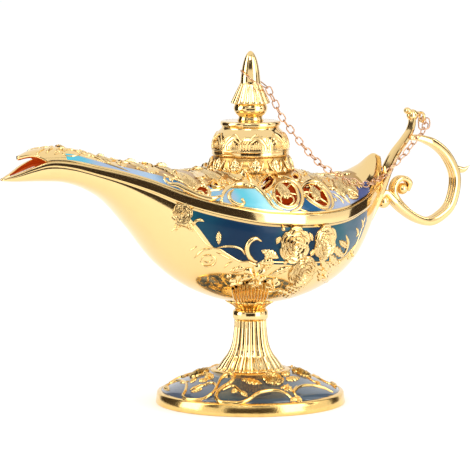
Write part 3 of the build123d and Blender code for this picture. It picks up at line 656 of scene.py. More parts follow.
neck_profile = [
    (6.2, 35.1), (6.7, 35.15), (7.1, 35.4), (7.35, 35.8), (7.5, 36.5), (7.5, 38.1), (7.35, 38.8),
    (7.1, 39.2), (6.7, 39.45), (6.2, 39.5),
]
neck_ring = turned("polished_neck_ring", neck_profile, gold, "lamp_base", 96)
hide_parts("neck_ring")


# The calyx: a cast and ribbed cup that carries the bowl on the neck ring.

calyx_profile = [(6.4, 39.5), (6.6, 40.1), (7.0, 40.7), (7.8, 41.3), (9.0, 42.0), (10.0, 42.6), (10.8, 43.3)]
calyx = turned("leafed_calyx", calyx_profile, deep_gold, "lamp_base", 12 * rib_count, flute=round_ribs)
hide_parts("calyx")


# The lid: a spun dome with a plug that drops into the collar, and a bead line round its
# seat. It is hollow, and the finial's screw holds it, its disc and the finial together.

lid_profile = [
    (2.0, 114.99), (5.2, 114.99), (10.3, 110.7), (10.3, 107.7), (12.0, 107.7), (12.0, 104.7), (15.9, 104.7),
    (16.1, 105.0), (16.2, 105.6), (16.2, 106.6), (16.15, 108.0), (15.95, 109.8), (15.5, 111.5),
    (14.9, 112.8), (14.2, 113.9), (13.3, 114.9), (12.5, 115.6), (12.1, 116.2), (12.0, 116.79), (2.0, 116.79),
]
lid = turned("lid_dome", lid_profile, gold, "lid_group", 128)
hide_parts("lid")


# The flange: a turned ring soldered inside the lid, which drops into the collar.

flange_profile = [(10.25, 101.2), (11.7, 101.2), (12.0, 101.5), (12.0, 107.6), (10.25, 107.6)]
flange = turned("lid_flange_ring", flange_profile, gold, "lid_group", 96, looped=True)
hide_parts("lid_flange")


# The disc and the finial: a polished disc, a turned ball, a flared skirt of fourteen ribs
# and a blunt spire, turned and cast, screwed down through the lid.

disc_profile = [
    (1.5, 116.79), (12.0, 116.79), (12.35, 117.0), (12.6, 117.4), (12.6, 118.3), (12.4, 118.8),
    (12.0, 118.96), (9.0, 118.99), (1.5, 118.99),
]
disc = turned("lid_disc_polished", disc_profile, gold, "lid_group", 128)
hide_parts("lid_disc")

finial_base_z, finial_height = 118.99, 29.2
skirt_ribs, skirt_rib_depth_share = 14, 0.10
# Rows of radius in mm and share of the finial's height
knop_rows = [
    (5.5, 0.0), (5.1, 0.03), (4.9, 0.055), (5.2, 0.075), (6.1, 0.10), (6.8, 0.135), (7.1, 0.17),
    (7.05, 0.205), (6.6, 0.235), (5.9, 0.255), (5.0, 0.262),
]
skirt_rows = [
    (3.0, 0.250), (8.1, 0.250), (8.3, 0.262), (7.9, 0.29), (7.2, 0.34), (6.4, 0.40), (5.5, 0.46),
    (4.6, 0.52), (4.1, 0.56), (2.5, 0.58),
]
spire_rows = [
    (4.0, 0.50), (4.35, 0.53), (4.15, 0.58), (3.98, 0.65), (3.7, 0.72), (3.4, 0.78), (3.0, 0.84),
    (2.45, 0.90), (1.75, 0.95), (1.0, 0.985), (0.3, 1.0),
]


def skirt_flute(angle, share):
    """Ribs with narrow grooves between, shallow at the top of the skirt."""
    groove = 1 - np.abs(np.cos(skirt_ribs / 2 * angle)) ** 0.5
    return 1 - skirt_rib_depth_share * groove * (0.4 + 0.6 * min(1, 3 * (1 - share)))


def finial_part(name, rows, sides=96, **shape):
    """A turned part of the finial."""
    profile = [(r, finial_base_z + share * finial_height) for r, share in rows]
    return turned(name, profile, gold, "lid_group", sides, **shape)


finial_ball = finial_part("finial_ball", knop_rows)
finial_skirt = finial_part("finial_skirt", skirt_rows, 16 * skirt_ribs, flute=skirt_flute)
finial_spire = finial_part("finial_spire", spire_rows)
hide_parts("finial")


# The handle: a cast, facetted strap that climbs from the tail to a small curled head, and a
# reeded ring that springs from its shoulder, rolls into two scrolls and carries a thorn.
# Two rivets from inside the bowl hold it to the tail.

handle_reach, handle_rise, handle_low_z = 41.0, 50.0, 70.4
strap_shares = [
    (-0.15, 0.08, 0.80), (-0.07, 0.21, 0.92), (0.00, 0.34, 1.00), (0.07, 0.48, 1.00), (0.17, 0.63, 0.98),
    (0.28, 0.74, 0.88), (0.35, 0.82, 0.78), (0.38, 0.89, 0.70), (0.38, 0.94, 0.62),
]
ring_shares = [
    (0.34, 0.77), (0.48, 0.76), (0.64, 0.71), (0.785, 0.612), (0.89, 0.462), (0.902, 0.332),
    (0.841, 0.168), (0.717, 0.076), (0.588, 0.038), (0.434, 0.070), (0.268, 0.156), (0.151, 0.242),
    (0.085, 0.300), (0.035, 0.300), (0.000, 0.240),
]
volute_shares = [
    (0.370, 0.110), (0.230, 0.215), (0.154, 0.318), (0.190, 0.400), (0.271, 0.424), (0.339, 0.384),
    (0.330, 0.310),
]
thorn_shares = [(0.885, 0.50), (0.95, 0.475), (1.02, 0.470), (1.085, 0.505)]
lug_share, head_share = (0.500, 0.940), (0.385, 0.960)


def on_handle(shares):
    """Places (x, z) of the handle's middle plane from shares of its reach and rise."""
    return np.array((tail_reach, handle_low_z)) + np.asarray(shares) * (handle_reach, handle_rise)


def flat_line(shares, count):
    """A smooth line in the handle's middle plane."""
    places = smooth_line(on_handle(shares), count)
    return np.c_[places[:, 0], np.zeros(count), places[:, 1]]


def swept(name, line, outline_at, smooth=True):
    """A bar along a line of (x, y, z) points: outline_at gives (across, outward) places."""
    tangents = np.gradient(line, axis=0)
    tangents /= np.linalg.norm(tangents, axis=1, keepdims=True)
    rings = []
    for i, (point, tangent) in enumerate(zip(line, tangents)):
        across = np.array((0, 1, 0)) - tangent * tangent[1]
        across /= np.linalg.norm(across)
        outward = np.cross(across, tangent)
        rings.append([point + across * a + outward * b for a, b in outline_at(i / (len(line) - 1))])
    faces = bar_faces(len(rings), len(rings[0]))
    return piece(name, np.concatenate(rings), faces, gold, smooth=smooth)


strap_half_width, strap_half_depth = 3.5, 2.5
strap_girths = np.array([row[2] for row in strap_shares])
facet_shares = [(1.00, 0.25), (0.93, 0.42), (0.80, 0.40), (0.30, 0.95)]


def strap_outline(share):
    """Two broad facets that meet in a ridge, with a thin raised edge on either side."""
    girth = np.interp(share * (len(strap_girths) - 1), np.arange(len(strap_girths)), strap_girths)
    upper = facet_shares + [(0, 1)] + [(-a, b) for a, b in facet_shares[::-1]]
    whole = upper + [(-a, -b) for a, b in upper]
    return [(strap_half_width * girth * a, strap_half_depth * girth * b) for a, b in whole]


def reeded(width, thickness, reeds=3, reed_depth=0.45, taper=0.12):
    """The outline of a bar with an odd number of reeds on both faces, thinner at its ends."""
    def at(share):
        size = min(1.0, 0.55 + 0.45 * min(share, 1 - share) / taper)
        half, deep = width / 2 * size, thickness / 2 * size
        outline = []
        for side in (1, -1):
            across = np.linspace(side, -side, 8 * reeds + 1)
            groove = np.abs(np.cos(across * math.pi / 2 * reeds))
            crown = deep * (0.72 + 0.28 * np.sqrt(np.clip(1 - across**2, 0, 1)))
            height = crown - reed_depth * (1 - groove**0.6)
            outline += list(zip(half * across, side * height))
        return outline
    return at


def round_section(across, deep, sides):
    """Places round an oval, for the section of a bar."""
    turns = np.linspace(0, 2 * math.pi, sides, endpoint=False)
    return [(across * math.cos(a), deep * math.sin(a)) for a in turns]


def thorn_outline(share):
    """A leaf-shaped section that swells and closes to a point."""
    size = max(0.06, math.sin(math.pi * min(1, share * 0.75 + 0.28)) ** 0.8)
    return round_section(1.25 * size, 1.5 * size, 16)


strap = swept("handle_strap", flat_line([row[:2] for row in strap_shares], 70), strap_outline, smooth=False)
ring = swept("handle_ring", flat_line(ring_shares, 150), reeded(6.2, 3.8))
volute = swept("handle_volute", flat_line(volute_shares, 70), reeded(5.4, 2.4))
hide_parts("handle")


def ball(name, share, radii, count=28):
    """A ball or an egg on the handle, with its own radius along each axis."""
    turn = np.linspace(0, 2 * math.pi, count, endpoint=False)
    lift = np.linspace(-math.pi / 2, math.pi / 2, count // 2 + 1)[1:-1]
    rings = [(math.cos(a) * math.cos(v), math.sin(a) * math.cos(v), math.sin(v)) for v in lift for a in turn]
    points = [(0, 0, -1), *rings, (0, 0, 1)]
    last = 1 + (len(lift) - 1) * count
    faces = [[1 + (j + 1) % count, 1 + j, 0] for j in range(count)]
    faces += grid_faces(len(lift), count, round_columns=True, start=1)
    faces += [[last + j, last + (j + 1) % count, len(points) - 1] for j in range(count)]
    x, z = on_handle(share)
    return piece(name, np.array(points) * radii + (x, 0, z), faces, gold)


scroll_balls = [
    ball("volute_eye", (0.265, 0.332), (2.5, 3.0, 2.5)),
    ball("curl_eye", (0.040, 0.230), (2.9, 3.0, 2.9)),
    ball("head", head_share, (2.6, 2.3, 2.6)),
    ball("head_curl", (0.325, 1.000), (1.5, 2.2, 1.5)),
]
thorn = swept("handle_thorn", flat_line(thorn_shares, 24), thorn_outline)
(lug_x, lug_z), head_x = on_handle(lug_share), on_handle(head_share)[0]
lug_radius, lug_wall, lug_half_width, lug_steps = 2.0, 0.52, 0.6, 32
lug_points = []
for a in np.linspace(0, 2 * math.pi, lug_steps, endpoint=False):
    for deep, across in round_section(lug_wall, lug_half_width, 12):
        reach = lug_radius + deep
        lug_points.append((lug_x + across, reach * math.cos(a), lug_z + reach * math.sin(a)))
lug = piece("chain_lug", lug_points, grid_faces(lug_steps, 12, True, True), gold)
rod_line = np.array([(x, 0, lug_z + lug_radius) for x in (head_x, (head_x + lug_x) / 2, lug_x)])
lug_rod = swept("lug_rod", rod_line, lambda share: round_section(lug_half_width, lug_half_width, 12))


# The chain: round brass wire bent into long oval links, each soldered shut through the one
# before. It hangs from the finial's loop, drapes over the cover and ends in the handle's lug.

wire_radius, link_width, link_pitch = 0.28, 3.0, 3.12
loop_radius, loop_tilt, loop_turn = 6.8, math.radians(33), math.radians(-32)
skirt_radius, loop_rest_share, loop_clearance, loop_high_share = 8.3, 0.44, 0.45, 0.72
loop_high_x = -(loop_rest_share * skirt_radius + loop_clearance)
loop_high_z = finial_base_z + loop_high_share * finial_height
loop_x = loop_high_x + loop_radius * math.cos(loop_tilt)
loop_z = loop_high_z - loop_radius * math.sin(loop_tilt)
loop_reach = loop_x + loop_radius * math.cos(loop_tilt)
turn_cos, turn_sin = math.cos(loop_turn), math.sin(loop_turn)
loop_low_z = loop_z - loop_radius * math.sin(loop_tilt)
loop_low = np.array([loop_reach * turn_cos, loop_reach * turn_sin, loop_low_z])
hang_shares = [
    (0.044, 0.097, 0.16), (0.080, 0.171, 0.36), (0.121, 0.256, 0.47), (0.190, 0.352, 0.51),
    (0.269, 0.443, 0.62), (0.397, 0.586, 0.88), (0.552, 0.730, 0.98), (0.717, 0.853, 0.96),
    (0.866, 0.940, 0.88),
]
drape_shares = [
    (0.555, -0.275, 0.841), (0.588, -0.343, 0.815), (0.630, -0.423, 0.796), (0.690, -0.457, 0.777),
    (0.774, -0.434, 0.766), (0.864, -0.335, 0.780), (0.941, -0.235, 0.792), (0.995, -0.204, 0.821),
]
climb_shares = [
    (0.183, 0.164, 0.00), (0.411, 0.336, 0.08), (0.550, 0.459, 0.15), (0.673, 0.586, 0.21),
    (0.860, 0.725, 0.30), (0.990, 0.862, 0.60),
]
drape = [(x * tail_reach, y * body_half_width, body_base_z + z * body_rise) for x, y, z in drape_shares]
lug_side = 0.6
chain_end = np.array([lug_x, -lug_side, lug_z])


def between(start, end, shares):
    """Points between two ends, each by its own share of the span along x, z and y."""
    start, end = np.array(start), np.array(end)
    return [start + (end - start) * (x, y, z) for x, z, y in shares]


chain_start = loop_low + (0, 0, 0.3)
# The chain's line: the hang from the loop, the drape over the cover and the climb to the lug
route = [chain_start, *between(chain_start, drape[0], hang_shares), *drape]
route += [*between(drape[-1], chain_end, climb_shares), chain_end]
line_points = 600
chain_line = smooth_line(route, line_points)
chain_length = np.sum(np.linalg.norm(np.diff(chain_line, axis=0), axis=1))
link_count = 2 * round(chain_length / link_pitch / 2) + 1
first = int(line_points * 0.5 * link_pitch / chain_length)
chain_line = chain_line[first:line_points - first]


def oval(length, width, count):
    """A long oval: two straight sides and two half-round ends, as local (u, v) places."""
    side, straight = width / 2, length / 2 - width / 2
    around = np.linspace(-math.pi / 2, math.pi / 2, count)
    right = [(straight + side * math.cos(a), side * math.sin(a)) for a in around]
    return right + [(-u, -v) for u, v in right]


def round_wire(name, line, radius, body, sides=10):
    """A round brass wire along a line of (x, y, z) points that closes on itself."""
    line = np.asarray(line, float)
    ahead, behind = np.roll(line, -1, 0), np.roll(line, 1, 0)
    tangents = (ahead - behind) / np.linalg.norm(ahead - behind, axis=1, keepdims=True)
    across = np.cross(tangents[0], (0.31, 0.87, 0.39))
    points = []
    for point, tangent in zip(line, tangents):
        across = across - tangent * np.dot(across, tangent)
        across /= np.linalg.norm(across)
        up = np.cross(tangent, across)
        points += [point + across * a + up * b for a, b in round_section(radius, radius, sides)]
    return piece(name, points, bar_faces(len(line), sides, True), chain_gold, body)


chain_gold = metal("rose gold chain", (0.66, 0.41, 0.26), gold_painted_shade_colour, 0.22, 400.0, 0.2, 0.05)
oval_length, oval_width = link_pitch + 2 * wire_radius, link_width - 2 * wire_radius
flat_oval = [(0, v, u) for u, v in oval(oval_length, oval_width, 12)]
one_link = round_wire("one_link", flat_oval, wire_radius, None)

link_row = bpy.data.node_groups.new("chain of links", "GeometryNodeTree")
row_inputs = {
    "Line": "Geometry", "Links": "Int", "Link": "Object", "Quarter Turn": "Float", "Finish": "Material",
}
for name, kind in row_inputs.items():
    link_row.interface.new_socket(name, in_out="INPUT", socket_type=f"NodeSocket{kind}")
link_row.interface.new_socket("Chain", in_out="OUTPUT", socket_type="NodeSocketGeometry")
given = node(link_row, "NodeGroupInput").outputs
to_curve = node(link_row, "GeometryNodeMeshToCurve", {"Mesh": given["Line"]})
upright = node(link_row, "GeometryNodeSetCurveNormal", {"Curve": to_curve.outputs["Curve"]}, mode="Z_UP")
spots = node(link_row, "GeometryNodeCurveToPoints", {
    "Curve": upright.outputs["Curve"], "Count": given["Links"],
}, mode="COUNT").outputs
number = node(link_row, "GeometryNodeInputIndex").outputs["Index"]
odd = node(link_row, "ShaderNodeMath", {0: number, 1: 2}, operation="MODULO").outputs["Value"]
roll = node(link_row, "ShaderNodeMath", {0: odd, 1: given["Quarter Turn"]}, operation="MULTIPLY")
turn_by = node(link_row, "ShaderNodeCombineXYZ", {"Z": roll.outputs["Value"]})
turned_on = node(link_row, "FunctionNodeRotateRotation", {
    "Rotation": spots["Rotation"], "Rotate By": turn_by.outputs["Vector"],
}, rotation_space="LOCAL")
shape = node(link_row, "GeometryNodeObjectInfo", {"Object": given["Link"]})
placed = node(link_row, "GeometryNodeInstanceOnPoints", {
    "Points": spots["Points"], "Instance": shape.outputs["Geometry"],
    "Rotation": turned_on.outputs["Rotation"],
})
real = node(link_row, "GeometryNodeRealizeInstances", {"Geometry": placed.outputs["Instances"]})
painted = node(link_row, "GeometryNodeSetMaterial", {
    "Geometry": real.outputs["Geometry"], "Material": given["Finish"],
})
node(link_row, "NodeGroupOutput", {"Chain": painted.outputs["Geometry"]})

chain = piece("link_chain", chain_line, [], chain_gold, None)
chain.data.edges.add(len(chain_line) - 1)
for i, edge in enumerate(chain.data.edges):
    edge.vertices = (i, i + 1)
chain.data.update()
growth = chain.modifiers.new("growth", "NODES")
growth.node_group = link_row
values = {"Links": link_count, "Link": one_link, "Quarter Turn": math.pi / 2, "Finish": chain_gold}
for item in link_row.interface.items_tree:
    if item.in_out == "INPUT" and item.name in values:
        growth[item.identifier] = values[item.name]
hardened(chain)
bpy.data.objects.remove(one_link)
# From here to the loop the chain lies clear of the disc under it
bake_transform(chain)
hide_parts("chain")


# The finial's loop: one ring of brass wire that hangs askew round the spire and holds the
# chain's first link. It rests on the skirt when the lamp stands still.

loop_points = []
for u, v in round_section(loop_radius, loop_radius, 96):
    x, z = loop_x + u * math.cos(loop_tilt), loop_z - u * math.sin(loop_tilt)
    loop_points.append((x * turn_cos - v * turn_sin, x * turn_sin + v * turn_cos, z))
chain_loop = round_wire("wire_loop", loop_points, wire_radius, "finial_tether")
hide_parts("chain_loop")


# The spare ring: a D-shaped ring of brass wire that hangs loose in the handle's lug.

ring_hang_z, ring_wire_radius = lug_z - lug_half_width, 0.3
ring_line = smooth_line([
    (-1.12, 0.0), (0.0, 0.12), (3.36, 0.0), (4.15, -1.1), (4.2, -3.4), (3.4, -4.5), (-0.2, -4.6),
    (-1.1, -3.8), (-1.3, -0.6), (-1.12, 0.0),
], 90)[:-1]
ring_points = [(lug_x + u, lug_side, ring_hang_z + v) for u, v in ring_line]
spare_ring = round_wire("spare_ring_wire", ring_points, ring_wire_radius, "spare_ring")
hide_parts("chain_ring")


# Raised work on the bowl: roses, leaves, daisies and scrolls in low relief, cast with the
# bowl and gilded. It is placed as the photograph shows it, in pixels, and is on both sides.

def faced(points, faces, out, face):
    """A form with its faces turned so that the one numbered looks the way given."""
    a, b, c = (points[i] for i in faces[face][:3])
    return points, faces if np.dot(np.cross(b - a, c - a), out) > 0 else [f[::-1] for f in faces]


def ridge(surface, places, width, height=None, steps=0, taper=0.35, sink=0.35):
    """A rounded ridge along a smooth line on a surface, thinner towards both its ends."""
    steps = steps or max(12, 6 * len(places))
    line = smooth_line(places, steps)
    points, out = surface(line[:, 0], line[:, 1])
    tangents = np.gradient(points, axis=0)
    tangents /= np.linalg.norm(tangents, axis=1, keepdims=True)
    across = np.cross(tangents, out)
    share = np.linspace(0, 1, steps)
    size = np.interp(share, [0, 0.25, 0.8, 1], [taper, 1, 1, taper])[:, None]
    section, below = 9, 0.15
    angles = np.linspace(-below * math.pi, (1 + below) * math.pi, section)
    rise_share = 0.75
    half, rise = width / 2, height or rise_share * width
    rings = np.stack([
        points + across * half * size * math.cos(a) + out * (rise * size * math.sin(a) - sink * half)
        for a in angles
    ], 1)
    middle = steps // 2
    top_face = middle * (section - 1) + section // 2
    return faced(rings.reshape(-1, 3), grid_faces(steps, section), out[middle], top_face)


def relief(surface, centre, radius, height_at, turn=0.0, squash=1.0, rings=26, around=72, sink=0.5):
    """A round form in relief: height_at gives shares of height for (radius, angle) shares."""
    turns = np.linspace(0, 2 * math.pi, around, endpoint=False)
    r, a = np.meshgrid(np.linspace(0.02, 1, rings), turns, indexing="ij")
    edge, height = height_at(r, a)
    u, v = radius * r * edge * np.cos(a + turn), radius * r * edge * np.sin(a + turn) * squash
    points, out = surface(centre[0] + u, centre[1] + v)
    points = points + out * (height * radius - sink * (r > 0.99))[..., None]
    faces = grid_faces(rings, around, round_columns=True) + [list(range(around))[::-1]]
    return faced(points.reshape(-1, 3), faces, out[rings // 2, 0], (rings // 2) * around)


def rose(r, a):
    """A rose: cupped petals in rings, each ring standing free of the one outside it."""
    middle_rise, lip_rise, root_drop, petal_rise, rim_share = 0.30, 0.20, 0.07, 0.04, 0.2
    height = middle_rise * (1 - 0.5 * r**2)
    low = np.zeros_like(r)
    petal_rings = ((0.22, 2, 0.3), (0.42, 3, 1.4), (0.64, 4, 0.5), (0.84, 5, 1.9), (1.03, 6, 0.9))
    for reach, count, phase in petal_rings:
        petal = np.abs(np.sin(count / 2 * a + phase))
        lip = reach * (0.80 + 0.20 * petal**0.5)
        share = np.clip((r - low) / np.maximum(lip - low, 0.01), 0, 1)
        here = (r >= low) & (r < lip)
        height = np.where(here, height + lip_rise * share**2.5 - root_drop + petal_rise * petal, height)
        low = lip
    edge = 0.86 + 0.14 * np.abs(np.sin(3 * a + 0.9)) ** 0.6
    return edge, height * np.where(r > 0.98, rim_share, 1.0)


def daisy(r, a):
    """A small flower: separate round petals about a button."""
    petals, button_share, rise = 5, 0.24, 0.34
    petal = np.abs(np.cos(petals / 2 * a))
    edge = 0.45 + 0.55 * petal**0.6
    dome, middle = np.sqrt(np.clip(1 - r**2, 0, 1)), np.exp(-((r / button_share) ** 4))
    return edge, rise * (dome * (0.25 + 0.75 * petal) + middle)


def button(r, a):
    """A plain half-round bead."""
    rise = 0.85
    return np.ones_like(r), rise * np.sqrt(np.clip(1 - r**2, 0, 1))


def leaf(surface, start, end, width, notches=5, height=0.9):
    """A leaf with a toothed edge, raised veins and a groove down its middle."""
    steps, columns = 40, 15
    tooth_depth, heel, edge_sink = 0.30, 0.10, 0.35
    groove_rise, blade_rise, vein_rise = 0.40, 0.35, 0.35
    start, end = np.array(start, float), np.array(end, float)
    way = end - start
    side = np.array([-way[1], way[0]]) / np.linalg.norm(way)
    t, s = np.meshgrid(np.linspace(0, 1, steps), np.linspace(-1, 1, columns), indexing="ij")
    tooth = 1 - tooth_depth * ((t * notches) % 1.0)
    half = width / 2 * np.sin(math.pi * t**0.8) ** 0.75 * tooth
    reach = t + heel * np.abs(s) * (1 - t)
    places = start + way * reach[..., None] + side * (half * s)[..., None]
    points, out = surface(places[..., 0], places[..., 1])
    vein = vein_rise * np.abs(np.sin(math.pi * (t * notches + 0.5 * np.abs(s)))) if notches else 0
    crown = (1 - np.abs(s) ** 2.2) * (groove_rise + blade_rise * np.minimum(1, 3 * np.abs(s)) + vein)
    rise = height * crown * np.sin(math.pi * np.clip(t, 0.03, 0.97)) ** 0.4
    rise = np.where(np.abs(s) > 0.99, -edge_sink, rise)
    faces = grid_faces(steps, columns)
    row, column = steps // 2, columns // 2
    points = points + out * rise[..., None]
    return faced(points.reshape(-1, 3), faces, out[row, column], row * (columns - 1) + column)


def merged(name, forms, material, body="lamp_base"):
    """One piece from many forms; each is a pair of its points and its faces."""
    points, faces, start = [], [], 0
    for form_points, form_faces in forms:
        points.append(np.asarray(form_points))
        faces += [[i + start for i in face] for face in form_faces]
        start += len(form_points)
    return piece(name, np.concatenate(points), faces, material, body)


def on_side(lines, side):
    """The surface of one side of the bowl or the cover, for the raised work."""
    skin_rise = 0.05
    return lambda x, z: body_side(lines, x, z, side, skin_rise)


def raised_forms(surface, look, flowers, leaves, strokes, beads, leaf_height=0.9, bead_radius=1.0, **fine):
    """Flowers, leaves, ridges and beads on a surface, placed by pixels of the photograph."""
    forms = []
    for pixel, radius, kind, turned_by, tall in flowers:
        forms.append(relief(surface, look([pixel])[0], radius, kind, turned_by, tall, **fine))
    for start, end, width in leaves:
        forms.append(leaf(surface, *look([start, end]), width, height=leaf_height))
    for line, width in strokes:
        forms.append(ridge(surface, look(line), width))
    for pixel in beads:
        forms.append(relief(surface, look([pixel])[0], bead_radius, button, rings=6, around=16))
    return forms


# Flowers as (pixel, radius in mm, kind, turn, height over width)
bowl_flowers = [
    ((294.3, 244.5), 7.0, rose, 0.3, 1.12), ((324.5, 242.0), 6.0, rose, 1.4, 1.30),
    ((302.5, 271.0), 6.6, rose, 2.2, 1.05), ((182.2, 213.8), 4.0, rose, 0.9, 1.20),
    ((254.3, 273.0), 5.0, daisy, 0.2, 0.85), ((256.5, 282.0), 3.4, daisy, 0.8, 0.9),
    ((237.5, 281.0), 3.2, daisy, 0.5, 0.9), ((272.0, 284.0), 3.6, daisy, 0.1, 0.9),
    ((350.5, 254.5), 2.2, daisy, 0.4, 1.2), ((322.0, 275.0), 3.0, daisy, 0.7, 1.0),
]
# Leaves as (foot and tip in pixels, width in mm)
bowl_leaves = [
    ((279, 258), (261, 250), 4.6), ((275, 262), (259, 262), 4.2), ((292, 266), (268, 275.5), 3.6),
    ((332, 246), (343, 257), 4.4), ((328, 254), (338, 266), 4.4), ((318, 258), (331, 274), 4.2),
    ((316, 268), (326, 283), 3.8), ((338, 240), (348, 248), 3.4), ((284, 286), (299, 293), 4.0),
    ((276, 290), (291, 297), 3.4), ((290, 284), (305, 287), 3.6), ((246, 268), (232, 270), 3.4),
    ((262, 268), (272, 266), 3.0), ((280, 236), (276, 244), 3.0), ((309, 232), (312, 241), 2.8),
    ((310, 256), (314, 249), 3.4), ((188, 222), (193, 231), 2.6), ((178, 222), (176, 231), 2.2),
    ((218.6, 230.5), (218.6, 244.5), 2.8),
]
# Ridges as (pixels, width in mm)
bowl_strokes = [
    ([(261.5, 241.4), (255.7, 238.2), (250, 240.7), (247, 247), (248, 254.3), (252, 259.3),
      (257, 262)], 2.3), ([(217, 247.5), (230, 246.0), (241, 249), (245, 255)], 1.1),
    ([(193, 225.7), (195.7, 221.2), (200, 219.8), (204, 221.6)], 1.5),
    ([(171.4, 231.4), (176, 227.8), (183, 226.4), (192.9, 231.4)], 0.9),
    ([(194, 258), (203, 250), (212, 249)], 1.0), ([(216, 252.5), (223, 255.5), (231, 259.5)], 0.9),
    ([(200, 262), (203, 256.5), (210, 255.5), (215.5, 259), (213, 264.5), (205, 266), (200, 262)], 1.0),
    ([(203, 261), (208, 262.5), (213, 259.5)], 0.8), ([(190, 250.5), (197, 246.4)], 0.7),
    ([(224, 268), (228, 264), (233, 261)], 0.8),
    ([(345.7, 234.5), (347.5, 243), (345, 251), (341.5, 257)], 1.4),
    ([(356, 227.5), (357.5, 232), (356, 237)], 1.2), ([(361.5, 219), (362.5, 224), (361.5, 229)], 1.0),
    ([(229.5, 271.5), (233.5, 268.5), (238.5, 268.6), (240.5, 271), (236, 273), (229.5, 271.5)], 0.8),
    ([(248, 290.5), (258, 288.5), (270, 291), (282, 288)], 1.2),
]
bowl_edge = [
    (181, 206), (184, 218), (190.5, 224), (194, 229), (198.5, 235), (206, 244), (212.8, 247.8),
    (219.3, 249.2), (227, 254), (240, 261.4), (248, 261.5), (256, 264.5), (262, 262), (280, 262),
    (320, 262), (338, 261.5), (345.7, 257.1), (352.8, 250), (359, 236), (365, 217),
]
bowl_beads = [
    (285, 262), (313, 262), (266, 257), (283, 229), (339, 262), (246, 275), (264, 278), (229, 276),
]
for side, name in both_sides:
    face = on_side(bowl_lines, side)
    forms = raised_forms(face, seen_on_bowl, bowl_flowers, bowl_leaves, bowl_strokes, bowl_beads)
    forms.append(ridge(face, seen_on_bowl(bowl_edge), 0.9, 0.6, steps=110, taper=0.6))
    work = merged(f"raised_work_bowl_{name}", forms, gold)


# Gadroons at the bowl's bottom: rounded lobes that run out from the calyx, cast in.

def on_underside(x, y):
    """Points on the bowl's bottom at places (x, y), and the direction straight out there."""
    def level(x, y):
        h, r, s, k, c = bowl_lines(x)
        return s - (s - k) * np.sqrt(np.clip(1 - (y / h) ** 2, 0, 1))

    step = 0.5
    rise_x, rise_y = level(x + step, y) - level(x - step, y), level(x, y + step) - level(x, y - step)
    out = np.stack([rise_x, rise_y, -np.ones_like(x)], -1)
    return np.stack([x, y, level(x, y)], -1), out / np.linalg.norm(out, axis=-1, keepdims=True)


lobe_start, middle_lobe_end, lobe_width, lobe_rise = 10.0, 27.5, 1.75, 1.3
lobe_pitch, lobe_spread, lobe_shortening = 1.15, 0.022, 0.12
# In front the lobes run out towards the photograph's camera, 27 degrees from square to the body
lobe_cos, lobe_sin = 0.891, 0.454
lobes = []
for side in (-1, 1):
    for number in np.arange(-5, 6):
        reach = np.linspace(lobe_start, middle_lobe_end - lobe_shortening * number**2, 6)
        wide = number * (lobe_pitch + lobe_spread * (reach - lobe_start))
        x, y = lobe_cos * wide - lobe_sin * reach, side * (lobe_cos * reach + lobe_sin * wide)
        lobes.append(ridge(on_underside, np.c_[x, y], lobe_width, lobe_rise, steps=24, taper=0.75))
gadroons = merged("gadroons", lobes, deep_gold)


# Raised work on the cover: rounded gold frames about the pierced windows, filigree inside
# them, C-scrolls, roses and leaves between, all cast with the cover.

cover_flowers = [
    ((188.3, 181.3), 3.1, rose, 0.3, 0.9), ((161, 168), 2.4, rose, 0.9, 0.8),
    ((174, 173.5), 2.4, daisy, 0.1, 0.8), ((204, 173), 2.4, rose, 1.3, 0.8),
    ((213, 176), 2.6, rose, 0.4, 0.8), ((221, 182.5), 2.2, daisy, 0.9, 0.9),
    ((244.2, 177.5), 4.6, daisy, 0.35, 0.8), ((232, 175), 2.0, rose, 0.2, 0.8),
    ((257, 180), 2.0, rose, 0.8, 0.9), ((304, 175.5), 2.6, daisy, 0.3, 0.8),
    ((315, 177.5), 2.4, rose, 0.6, 0.8), ((327, 181), 2.4, daisy, 0.9, 0.8),
    ((339, 183), 2.6, rose, 0.2, 0.9), ((341.5, 189), 2.8, rose, 1.1, 0.9),
    ((352, 189), 2.4, rose, 0.5, 0.9), ((358, 184), 2.0, daisy, 0.4, 0.9),
    ((283.5, 191.5), 2.6, rose, 0.6, 1.1), ((315.5, 194), 2.4, rose, 0.9, 1.1),
    ((148, 164), 2.2, daisy, 0.6, 0.8), ((133, 163.5), 2.2, rose, 0.4, 0.8),
    ((120, 163.0), 1.9, daisy, 0.4, 0.8), ((104, 158.0), 1.8, rose, 0.4, 0.8),
    ((84, 149.5), 1.6, daisy, 0.4, 0.8),
]
cover_leaves = [
    ((168, 171), (158, 164), 2.6), ((180, 178), (170, 170), 2.8), ((194, 178), (200, 170), 2.6),
    ((198, 180), (208, 184), 2.4), ((216, 172), (224, 175), 2.6), ((226, 180), (236, 184), 2.6),
    ((252, 184), (262, 188), 2.4), ((236, 176), (228, 170), 2.4), ((252, 176), (261, 171), 2.6),
    ((296, 172), (304, 169.5), 2.4), ((308, 178), (300, 182), 2.2), ((321, 180), (331, 186), 2.6),
    ((332, 178), (342, 180), 2.4), ((346, 184), (353, 181), 2.4), ((334, 190), (342, 195), 2.6),
    ((346, 193), (354, 197), 2.6), ((155, 170), (147, 172), 2.0), ((140, 163), (131, 158), 2.0),
    ((127, 166), (117, 161), 1.8), ((112, 161), (100, 155.5), 1.6), ((96, 155), (88, 150.5), 1.4),
    ((64, 147.5), (57, 145.5), 1.4), ((60, 150), (54, 154), 1.4),
]
